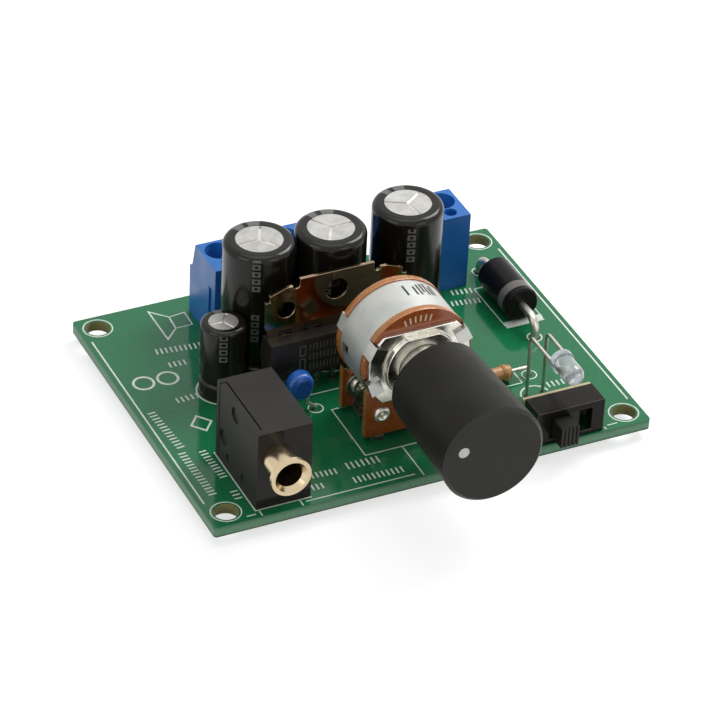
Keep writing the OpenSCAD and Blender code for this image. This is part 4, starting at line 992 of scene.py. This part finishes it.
@dataclass
class CircuitBoard(Assembly):
    """The bare board with its print and its solder.

    Args:
        line: Width of a printed line.
        fine: Width of the finer lines round holes and parts.
        ink: Thickness of the printed ink.
        bar_step: Distance from one bar to the next in a row.
        hole: Place of the mounting hole at the back right; the others mirror it.
        hole_ring_r: Radius of the ring round each of them.
        borders: Long lines beside the left and the right edge.
        outlines: Lines round the parts, with their ticks.
        horn: Outline of the plain horn shape behind the jack.
        cathode: Outline of the filled bar at the diode's front end.
        cathode_top: Height of that bar, a little over the line that it meets.
        lead_ring_r: Radius of the rings round single leads.
        lead_rings: Middles of those rings.
        can_rings: Middle and radius of the ring round each capacitor.
        lamp_arc: Middle and radius of the arc at the lamp.
        lamp_arc_deg: Angle where it starts and angle that it covers.
        lamp_arc_steps: Number of straight pieces in it.
        circles: Middles of the two plain circles.
        circle_r: Their radius.
        circle_w: Width of their line.
        diamond: Outline of the plain diamond.
        diamond_w: Width of its line.
        rows: First and last bar and height of each row of bars that stands where words are.
    """

    line: float = 0.25
    fine: float = 0.19
    ink: float = 0.02
    bar_step: float = 0.72
    hole: Point = (30.17, 22.92)
    hole_ring_r: float = 2.1
    borders: tuple[Points, ...] = (((-32.2, -20.3), (-32.2, 20.1)), ((32.2, -20.3), (32.2, 20.1)))
    outlines: tuple[Points, ...] = (
        ((-26.42, -10.2), (-26.42, -24.2), (-18.1, -24.2)),
        ((-25.95, -24.2), (-25.95, -25.5)),
        ((-28.0, -24.9), (-26.65, -24.9)),
        ((-19.95, -24.3), (-19.95, -25.5)),
        ((-19.3, -24.85), (-3.0, -24.85)),
        ((-1.93, -18.7), (-1.93, -25.5)),
        ((-6.3, -7.2), (-7.4, -7.2), (-7.5, -18.5), (9.5, -18.5), (9.5, -7.2), (8.4, -7.2)),
        ((-10.9, -2.93), (-4.3, -2.93)),
        ((24.2, 12.0), (24.2, 2.1), (30.2, 2.1), (30.2, 12.0), (24.2, 12.0)),
        ((20.2, -11.35), (13.0, -11.35), (13.0, -8.55), (20.2, -8.55), (20.2, -11.35)),
        ((26.65, -24.75), (28.25, -24.7)),
        ((26.1, -24.95), (26.1, -25.5)),
        ((-19.84, 18.86), (-17.28, 18.91), (-17.18, 22.07), (-19.69, 21.78)))
    horn: Points = ((-21.95, 24.05), (-21.94, 16.73), (-19.84, 18.86), (-19.69, 21.78))
    cathode: Points = ((24.2, 1.3), (30.2, 1.3), (30.2, 2.8), (24.2, 2.8))
    cathode_top: float = 0.024
    lead_ring_r: float = 1.05
    lead_rings: Points = (
        (-9.3, -6.05), (-14.38, -6.05), (26.9, -2.04), (26.9, 15.74), (22.0, -9.95), (9.3, -9.95))
    can_rings: tuple[tuple[Point, float], ...] = (
        ((-12.55, 7.3), 5.45), ((-2.1, 6.35), 5.45), ((10.55, 8.0), 5.45), ((-19.7, 2.8), 3.5))
    lamp_arc: tuple[Point, float] = ((20.66, -14.6), 2.1)
    lamp_arc_deg: Point = (10.0, 165.0)
    lamp_arc_steps: int = 20
    circles: Points = ((-29.2, 8.2), (-25.6, 8.1))
    circle_r: float = 1.45
    circle_w: float = 0.38
    diamond: Points = ((-26.9, -3.4), (-25.4, -5.2), (-23.9, -3.4), (-25.4, -1.6))
    diamond_w: float = 0.3
    rows: tuple[tuple[Point, Point, float], ...] = (
        ((-30.9, 1.3), (-30.2, -7.4), 1.15), ((-30.6, -8.8), (-30.3, -18.7), 1.15),
        ((-27.8, -9.4), (-27.4, -15.7), 1.1), ((-27.4, -19.2), (-27.4, -20.8), 1.1),
        ((-26.4, 2.7), (-23.4, 2.8), 1.2), ((-24.6, 14.5), (-18.3, 13.8), 1.3),
        ((-24.1, 10.9), (-21.9, 10.8), 1.2), ((-10.8, -19.8), (-6.3, -19.9), 1.5),
        ((-11.2, -23.0), (-4.2, -23.2), 1.3), ((-17.5, -19.9), (-12.8, -20.2), 1.2),
        ((-18.6, -22.4), (-15.8, -22.5), 1.2), ((23.4, -13.1), (27.1, -13.2), 1.2),
        ((20.8, 12.3), (23.6, 11.9), 1.2), ((19.6, 9.8), (23.6, 9.2), 1.2))
    finishes = {"circuit_board": (MASK, 0.08), "solder_joints": (SOLDER, 0.0)}

    def build(self) -> None:
        """Makes the print: outlines of the parts, plain shapes for signs and bars for words."""
        top = corners("circuit_board")[1].z
        mesh = MeshMaker(lambda u, v, height: Vector((u, v, top + height)), -self.ink, self.ink)
        x, y = self.hole
        for corner in ((-x, -y), (-x, y), (x, -y), (x, y)):
            mesh.ring(corner, self.hole_ring_r, self.fine)
        for path in self.borders:
            mesh.stroke(path, self.line)
        for path in self.outlines:
            mesh.stroke(path, self.fine)
        mesh.stroke(self.horn, self.line, closed=True)
        mesh.prism(self.cathode, self.cathode_top)
        for spot in self.lead_rings:
            mesh.ring(spot, self.lead_ring_r, self.fine)
        for spot, radius in self.can_rings:
            mesh.ring(spot, radius, self.line)
        mesh.ring(*self.lamp_arc, self.line, *self.lamp_arc_deg, self.lamp_arc_steps)
        for spot in self.circles:
            mesh.ring(spot, self.circle_r, self.circle_w)
        mesh.stroke(self.diamond, self.diamond_w, closed=True)
        for start, end, tall in self.rows:
            mesh.bars(start, end, tall, self.line, self.bar_step)
        mesh.finish("board_print", INK, BOARD, "board_mask")


@dataclass(frozen=True)
class CanPrint:
    """How one capacitor is turned: its scored lines and the print on its sleeve.

    Args:
        turn_deg: Angle of the first scored line.
        stripes: Between which angles each grey stripe runs.
        column: Between which angles the column of boxes runs.
        column_z: Heights of the foot and head of the column's two parts.
    """

    turn_deg: float
    stripes: Points
    column: Point
    column_z: Points


@dataclass
class Capacitors(Assembly):
    """The electrolytic capacitors, with the print on their sleeves.

    Args:
        vent_share: Radius of the bare top as a share of the sleeve's.
        sectors: Number of sectors, and of scored lines between them.
        score_w: Width of a scored line.
        ease: Gap between a sector and the line or the rim beside it.
        half_t: Half the thickness of a sector.
        tilt: How far a sector rises to its rim.
        arc_steps: Number of straight pieces in a sector's rim.
        cans: How each capacitor is turned.
    """

    vent_share: float = 0.66
    sectors: int = 3
    score_w: float = 0.35
    ease: float = 0.03
    half_t: float = 0.02
    tilt: float = 0.08
    arc_steps: int = 12
    cans: Mapping[str, CanPrint] = field(default_factory=lambda: {
        "left": CanPrint(64, ((66, 92), (102, 124)), (-124, -111), ((16.8, 22.0), (8.4, 13.3))),
        "middle": CanPrint(3, ((60, 87), (99, 117)), (-124, -112), ((12.4, 18.2), (12.4, 18.2))),
        "right": CanPrint(35, ((73, 97), (108, 124)), (-115, -102), ((15.6, 21.2), (7.0, 12.0))),
        "small": CanPrint(55, ((72, 100),), (-122, -102), ((8.4, 12.8), (2.0, 4.0))),
    })
    finishes = {"capacitor_bungs": (BUTYL, 0.0), "capacitor_leads": (TINNED_WIRE, 0.0)}

    def build(self) -> None:
        """Makes the matte sectors on top of each can, painted greyer than the scored lines as
        painted shade.
        """
        for name, can in self.cans.items():
            low, high = corners(f"capacitor_{name}_sleeve")
            spot = (low + high) / 2
            spot.z = corners(f"capacitor_{name}_can")[1].z
            radius = (high.x - low.x) / 2 * self.vent_share - self.ease
            mesh = MeshMaker(low=-self.half_t, high=self.half_t)
            for i in range(self.sectors):
                self.sector(mesh, spot, radius, can.turn_deg + 360 / self.sectors * i)
            mesh.finish(f"capacitor_{name}_vent_sectors", SHADED_VENT_FACE, BOARD, "can_aluminium")

    def sector(self, mesh: MeshMaker, spot: Vector, radius: float, start_deg: float) -> None:
        """Makes one sector between two scored lines, rising a little to its rim.

        Args:
            mesh: The mesh that collects the sectors.
            spot: Middle of the can's top.
            radius: Outer radius of the sector.
            start_deg: Angle of the scored line where it starts.
        """
        whole = 360 / self.sectors
        edge = self.score_w / 2 + self.ease
        spread = math.degrees(math.asin(edge / radius))
        outline = [polar(edge / math.sin(math.radians(whole / 2)), whole / 2)]
        outline += [polar(radius, spread + (whole - 2 * spread) * i / self.arc_steps)
                    for i in range(self.arc_steps + 1)]
        outward = polar(1.0, whole / 2)
        turn = Matrix.Rotation(math.radians(start_deg), 2)

        def place(u: float, v: float, height: float) -> Vector:
            """Puts a point of the sector on the can's top."""
            rise = self.tilt * outward.dot((u, v)) / radius if height > 0 else 0.0
            return spot + (turn @ Vector((u, v))).to_3d() + Vector((0, 0, height + rise))

        mesh.place = place
        mesh.prism(outline)

    def dress(self) -> None:
        """Puts the finishes on bungs and leads, and each can's own on the can and its sleeve."""
        super().dress()
        for name, can in self.cans.items():
            sleeve = f"capacitor_{name}_sleeve"
            dress(f"capacitor_{name}_can", DRAWN_ALUMINIUM)
            dress(sleeve, replace(SLEEVE, name=f"{SLEEVE.name}_{name}", center=middle(sleeve)[:2],
                                  stripes=can.stripes, column=can.column, column_z=can.column_z))


class TerminalBlocks(Assembly):
    """The screw terminal blocks: three housings, and a screw and a cage for each of six wires."""

    finishes = {
        **{f"terminal_block_{name}": (NYLON, 0.1) for name in ("left", "middle", "right")},
        **{f"clamp_screw_{i}": (ZINC_SCREW, 0.08) for i in range(1, 7)},
        **{f"clamp_cage_{i}": (BRASS, 0.06) for i in range(1, 7)},
        "terminal_contacts": (TINNED_STRIP, 0.05),
    }


@dataclass
class AmplifierChip(Assembly):
    """The amplifier chip with its fin, its pins and the marking on its front.

    Args:
        tall: Height of a row of the marking.
        bar_w: Width of a bar in it.
        bar_step: Distance from one bar to the next, about.
        rows: For each row, the places of its two ends and its height above the floor of the part.
        boxes: Left, right, lower and upper edge of the two boxes beside the rows.
        box_w: Width of their lines.
        sunk: How deep the marking reaches into the body.
        proud: How far it stands out of it.
    """

    tall: float = 1.05
    bar_w: float = 0.16
    bar_step: float = 0.55
    rows: tuple[tuple[float, float, float], ...] = (
        (-8.8, -5.1, 9.5), (-8.8, -4.4, 7.85), (-8.7, -4.5, 6.2))
    boxes: tuple[tuple[float, float, float, float], ...] = (
        (-10.3, -9.5, 8.3, 9.9), (-10.3, -9.5, 5.8, 7.7))
    box_w: float = 0.2
    sunk: float = 0.02
    proud: float = 0.015
    finishes = {"amplifier_chip_body": (EPOXY, 0.08), "amplifier_chip_fin": (ROLLED_FIN, 0.05),
                "amplifier_chip_pins": (TINNED_STRIP, 0.04)}

    def build(self) -> None:
        """Makes the marking: rows of plain bars and two open boxes."""
        face = corners("amplifier_chip_body")[0].y
        mesh = MeshMaker(lambda u, v, height: Vector((u, face - height, v)), -self.sunk, self.proud)
        for left, right, z in self.rows:
            mesh.bars((left, z), (right, z), self.tall, self.bar_w, self.bar_step)
        for left, right, low, high in self.boxes:
            mesh.stroke([(left, low), (right, low), (right, high), (left, high)], self.box_w,
                        closed=True)
        mesh.finish("chip_marking", LASER_MARK, BOARD, "chip_epoxy")


@dataclass
class Potentiometer(Assembly):
    """The two-gang potentiometer with its knob.

    Args:
        ink: Half the thickness of the print.
        can_bar_w: Width of a bar on the can.
        can_bars: For each dark bar on the can, its angle in degrees and the places of its two ends.
        wafer_bar_w: Width of a bar on the front wafer.
        wafer_bars: Angles of the pale bars there.
        wafer_reach: Inner and outer radius of those bars.
        rivet_pitch: Distance from one rivet to the next in a row of three.
        rivet_length: Length of a rivet over both of its heads.
        rivet_head: Radius and height of a head.
        rivet_shank_r: Radius of the shank.
        rivet_hollow: Radius and depth of the hollow in a head.
        rivet_roll: How far the rolled rim drops from its crest.
        roll_steps: Number of straight pieces across the rim.
        dot_deg: Angle of the knob's white dot at rest.
        dot_reach: Distance of the dot from the axis.
        dot_r: Radius of the dot.
        dot_y: Front and back of the dot behind the knob's face.
        dot_steps: Number of flats round the dot.
    """

    ink: float = 0.02
    can_bar_w: float = 0.32
    can_bars: tuple[tuple[float, float, float], ...] = (
        (88.0, -11.8, -9.5), (78.0, -11.9, -9.9), (73.0, -11.9, -9.4), (68.5, -11.2, -9.2),
        (64.0, -11.8, -9.0), (59.5, -11.6, -9.6), (55.5, -11.4, -9.0))
    wafer_bar_w: float = 0.24
    wafer_bars: tuple[float, ...] = (108.0, 101.5, 95.0, 88.5, 82.0, 75.5)
    wafer_reach: Point = (6.25, 7.3)
    rivet_pitch: float = 5.0
    rivet_length: float = 2.4
    rivet_head: Point = (1.25, 0.45)
    rivet_shank_r: float = 0.79
    rivet_hollow: Point = (0.4, 0.65)
    rivet_roll: float = 0.32
    roll_steps: int = 12
    dot_deg: float = 159.0
    dot_reach: float = 4.9
    dot_r: float = 0.8
    dot_y: Point = (0.02, 0.2)
    dot_steps: int = 48
    finishes = {
        "potentiometer_front_wafer": (PHENOLIC, 0.05), "potentiometer_rear_wafer": (PHENOLIC, 0.05),
        "potentiometer_can": (ZINC_PLATE, 0.0), "potentiometer_rear_cover": (ZINC_PLATE, 0.06),
        "potentiometer_front_plate": (DIE_CAST, 0.12), "potentiometer_bushing": (DIE_CAST, 0.1),
        "potentiometer_terminals": (TINNED_STRIP, 0.04), "potentiometer_rotors": (ACETAL, 0.0),
        "potentiometer_shaft": (TURNED_ALUMINIUM, 0.2), "volume_knob": (ABS_BLACK, 0.0),
    }

    def build(self) -> None:
        """Makes the print on the can and the front wafer, the rivets and the knob's dot."""
        self.can_print()
        self.wafer_print()
        self.rivets()
        self.dot()

    def can_print(self) -> None:
        """Makes the dark bars on the can."""
        axis = middle("potentiometer_rear_cover")
        low, high = corners("potentiometer_can")
        radius = (high.x - low.x) / 2
        mesh = MeshMaker(lambda u, v, h: Vector((axis.x + (radius + h) * math.cos(u / radius), v,
                                                 axis.z + (radius + h) * math.sin(u / radius))),
                         -self.ink, self.ink)
        for angle_deg, start, end in self.can_bars:
            u = math.radians(angle_deg) * radius
            mesh.stroke([(u, start), (u, end)], self.can_bar_w)
        mesh.finish("potentiometer_can_print", DARK_INK, BOARD, "zinc_plate")

    def wafer_print(self) -> None:
        """Makes the pale bars on the front wafer."""
        axis = middle("potentiometer_rear_cover")
        front = corners("potentiometer_front_wafer")[0].y
        mesh = MeshMaker(
            lambda u, v, h: Vector((axis.x + u, front - h, axis.z + v)), -self.ink, self.ink)
        for angle_deg in self.wafer_bars:
            mesh.stroke([polar(reach, angle_deg) for reach in self.wafer_reach], self.wafer_bar_w)
        mesh.finish("potentiometer_wafer_print", CREAM_INK, BOARD, "phenolic")

    def rivets(self) -> None:
        """Makes both rows of hollow rivets, each with its rims rolled over."""
        low, high = corners("potentiometer_rivets")
        axis = (low + high) / 2
        head_r, head_h = self.rivet_head
        hollow_r, depth = self.rivet_hollow
        crest = (head_r + hollow_r) / 2
        turns = [math.pi * i / self.roll_steps for i in range(self.roll_steps + 1)]
        # From the bottom of the hollow, up its wall, over the rolled rim and down to the shank
        half = [(0.0, depth), (hollow_r, depth),
                *((crest - (crest - hollow_r) * math.cos(a), self.rivet_roll * (1 - math.sin(a)))
                  for a in turns),
                (head_r, head_h), (self.rivet_shank_r, head_h)]
        outline = half + [(radius, self.rivet_length - along) for radius, along in reversed(half)]
        mesh = MeshMaker()
        for start in (low.y, high.y - self.rivet_length):
            for across in (-self.rivet_pitch, 0.0, self.rivet_pitch):
                mesh.lathe(outline, Vector((axis.x + across, start, axis.z)))
        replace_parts(mesh.finish("potentiometer_rivets_rolled", RIVET_BRASS, BOARD, "rivet_metal"),
                    "potentiometer_rivets")

    def dot(self) -> None:
        """Makes the white dot of the knob."""
        knob, face = middle("volume_knob"), corners("volume_knob")[0].y
        where = polar(self.dot_reach, self.dot_deg, (knob.x, knob.z))
        mesh = MeshMaker(lambda u, v, h: Vector((u, face + h, v)), *self.dot_y)
        mesh.prism([polar(self.dot_r, 360 * i / self.dot_steps, where)
                    for i in range(self.dot_steps)])
        mesh.finish("knob_dot", DOT_WHITE, "volume", "knob_plastic")


class AudioJack(Assembly):
    """The audio jack with its turned barrel."""

    finishes = {"jack_housing": (PBT_JACK, 0.1), "jack_side_cover": (PBT_JACK, 0.06),
                "jack_barrel": (NICKEL, 0.0), "jack_tip_contact": (BRASS, 0.0),
                "jack_ring_contact": (BRASS, 0.0)}


class SlideSwitch(Assembly):
    """The slide switch."""

    finishes = {"switch_case": (NYLON_BLACK, 0.14), "switch_base": (TAN_PHENOLIC, 0.05),
                "switch_pins": (BRASS, 0.03), "switch_lever": (ABS_BLACK, 0.05),
                "switch_bridge": (BRASS, 0.03)}


@dataclass
class SmallParts(Assembly):
    """The indicator lamp, the diode, the resistor and the ceramic capacitor.

    Args:
        anvil: Outline of the lamp's cup and its stem, from the lens's middle and its rear face.
        post: Outline of the thin post beside it.
        strip_t: Half the thickness of both.
    """

    anvil: Points = (
        (-1.5, -1.75), (-1.04, -1.75), (-0.1, -2.5), (0.2, -3.3), (-1.15, -3.3), (-1.45, -2.5))
    post: Points = (
        (1.04, -1.75), (1.5, -1.75), (1.4, -2.9), (0.45, -3.3), (0.4, -3.0), (1.0, -2.6))
    strip_t: float = 0.26
    finishes = {"lamp_lens": (LENS, 0.0), "lamp_leads": (TINNED_WIRE, 0.0),
                "diode_leads": (TINNED_WIRE, 0.0), "resistor_leads": (TINNED_WIRE, 0.0),
                "ceramic_capacitor_body": (BLUE_DIP, 0.0),
                "ceramic_capacitor_leads": (TINNED_WIRE, 0.0)}

    def build(self) -> None:
        """Makes the metal strips that show through the lamp's lens."""
        axis, rear = middle("lamp_lens"), corners("lamp_lens")[1].y
        mesh = MeshMaker(lambda u, v, h: Vector((axis.x + u, rear + v, axis.z + h)), -self.strip_t,
                         self.strip_t)
        for outline in (self.anvil, self.post):
            mesh.prism(outline)
        mesh.finish("lamp_cup_and_post", TINNED_STRIP, BOARD, "tinned_strip")

    def dress(self) -> None:
        """Puts the finishes on all of them, with the rings where the two ringed bodies are."""
        super().dress()
        dress("diode_body", replace(DIODE_EPOXY, origin=corners("diode_body")[0].y))
        dress("resistor_body", replace(LACQUER, origin=middle("resistor_body").x))


@dataclass
class Studio:
    """The floor, the lamps, the surroundings and the camera.

    Args:
        floor_z: Height of the floor, under the lowest solder.
        floor_half: Half the width of the floor.
        floor_glow: Light that the floor adds to its own where it is looked at.
        soft_light: Strength of the surroundings for rays that only light the part.
        lamps: Name, place, size and power in watts of each soft box.
        lens: Focal length of the camera.
        spot: Place of the camera.
        view: Its directions to the right, down and ahead.
    """

    floor_z: float = field(default_factory=lambda: CAD_BOX[0][2] / MM)
    floor_half: float = 1500.0
    floor_glow: float = 0.68
    soft_light: float = 0.33
    lamps: tuple[tuple[str, tuple[float, float, float], float, float], ...] = (
        ("right", (170, 60, 210), 130, 0.5), ("overhead", (0, 40, 420), 300, 0.42),
        ("left", (-420, -120, 220), 260, 0.35), ("front", (160, -420, 200), 220, 0.25))
    lens: float = 198.15
    spot: tuple[float, float, float] = (-203.13, -405.15, 326.69)
    view: tuple[tuple[float, float, float], ...] = (
        (0.90567, -0.42202, 0.04082), (-0.21540, -0.54090, -0.81304), (0.36520, 0.72755, -0.58078))

    def build(self) -> None:
        """Makes the floor, the world, the lamps and the camera."""
        self.floor()
        self.world()
        self.hang_lamps()
        self.camera()

    def seen(self, tree: bpy.types.NodeTree) -> Socket:
        """Tells the rays that look from those that light the part.

        Args:
            tree: The node tree to add to.

        Returns:
            1 for a ray from the camera, off a mirror or through glass, and 0 for the rest.
        """
        rays = add_node(tree, "ShaderNodeLightPath").outputs
        looks = arithmetic(tree, "MAXIMUM", rays["Is Camera Ray"], rays["Is Glossy Ray"])
        return arithmetic(tree, "MAXIMUM", looks, rays["Is Transmission Ray"])

    def floor(self) -> None:
        """Makes the white floor, which keeps the part's shadow."""
        half, z = self.floor_half * MM, self.floor_z * MM
        data = bpy.data.meshes.new("floor")
        data.from_pydata(
            [(-half, -half, z), (half, -half, z), (half, half, z), (-half, half, z)], [],
            [(0, 1, 2, 3)])
        paper = bpy.data.materials.new("paper_sweep_white")
        tree = cleared(paper)
        matt = add_node(tree, "ShaderNodeBsdfPrincipled", {
            "Base Color": linear("#bcbcbc"), "Roughness": 0.9, "Specular IOR Level": 0.0,
            "Emission Color": linear("#ffffff"),
            "Emission Strength": arithmetic(tree, "MULTIPLY", self.seen(tree), self.floor_glow)})
        add_node(tree, "ShaderNodeOutputMaterial", {"Surface": matt.outputs["BSDF"]})
        data.materials.append(paper)
        place_object("floor", data)

    def world(self) -> None:
        """Makes surroundings that the camera sees white and that light the part softly."""
        world = bpy.data.worlds.new("studio")
        bpy.context.scene.world = world
        tree = cleared(world)
        level = add_node(tree, "ShaderNodeMapRange",
                         {"Value": self.seen(tree), "To Min": self.soft_light, "To Max": 1.0})
        light = add_node(tree, "ShaderNodeBackground",
                         {"Color": linear("#ffffff"), "Strength": level.outputs["Result"]})
        add_node(tree, "ShaderNodeOutputWorld", {"Surface": light.outputs["Background"]})

    def hang_lamps(self) -> None:
        """Hangs soft boxes over and beside the part."""
        for name, place, size, power in self.lamps:
            lamp = bpy.data.lights.new(name, "AREA")
            lamp.shape = "SQUARE"
            lamp.size = size * MM
            lamp.energy = power
            holder = place_object(name, lamp)
            holder.location = Vector(place) * MM
            holder.rotation_euler = (-holder.location).to_track_quat("-Z", "Y").to_euler()

    def camera(self) -> None:
        """Places the camera as the photograph's was."""
        right, down, ahead = (Vector(way) for way in self.view)
        data = bpy.data.cameras.new("camera")
        data.lens = self.lens
        data.sensor_width = 36.0
        data.clip_start = 0.05
        data.clip_end = 20.0
        camera = place_object("camera", data)
        turn = Matrix((right, -down, -ahead)).transposed().to_4x4()
        camera.matrix_world = Matrix.Translation(Vector(self.spot) * MM) @ turn
        bpy.context.scene.camera = camera


def main() -> None:
    """Builds the part's looks piece by piece."""
    logging.basicConfig(level=logging.INFO, format="%(name)s: %(message)s")
    bpy.context.scene.view_settings.view_transform = "Standard"
    Studio().build()
    for assembly in (CircuitBoard(), Capacitors(), TerminalBlocks(), AmplifierChip(),
                     Potentiometer(), AudioJack(), SlideSwitch(), SmallParts()):
        assembly.build()
        assembly.dress()


if __name__ == "__main__":
    main()
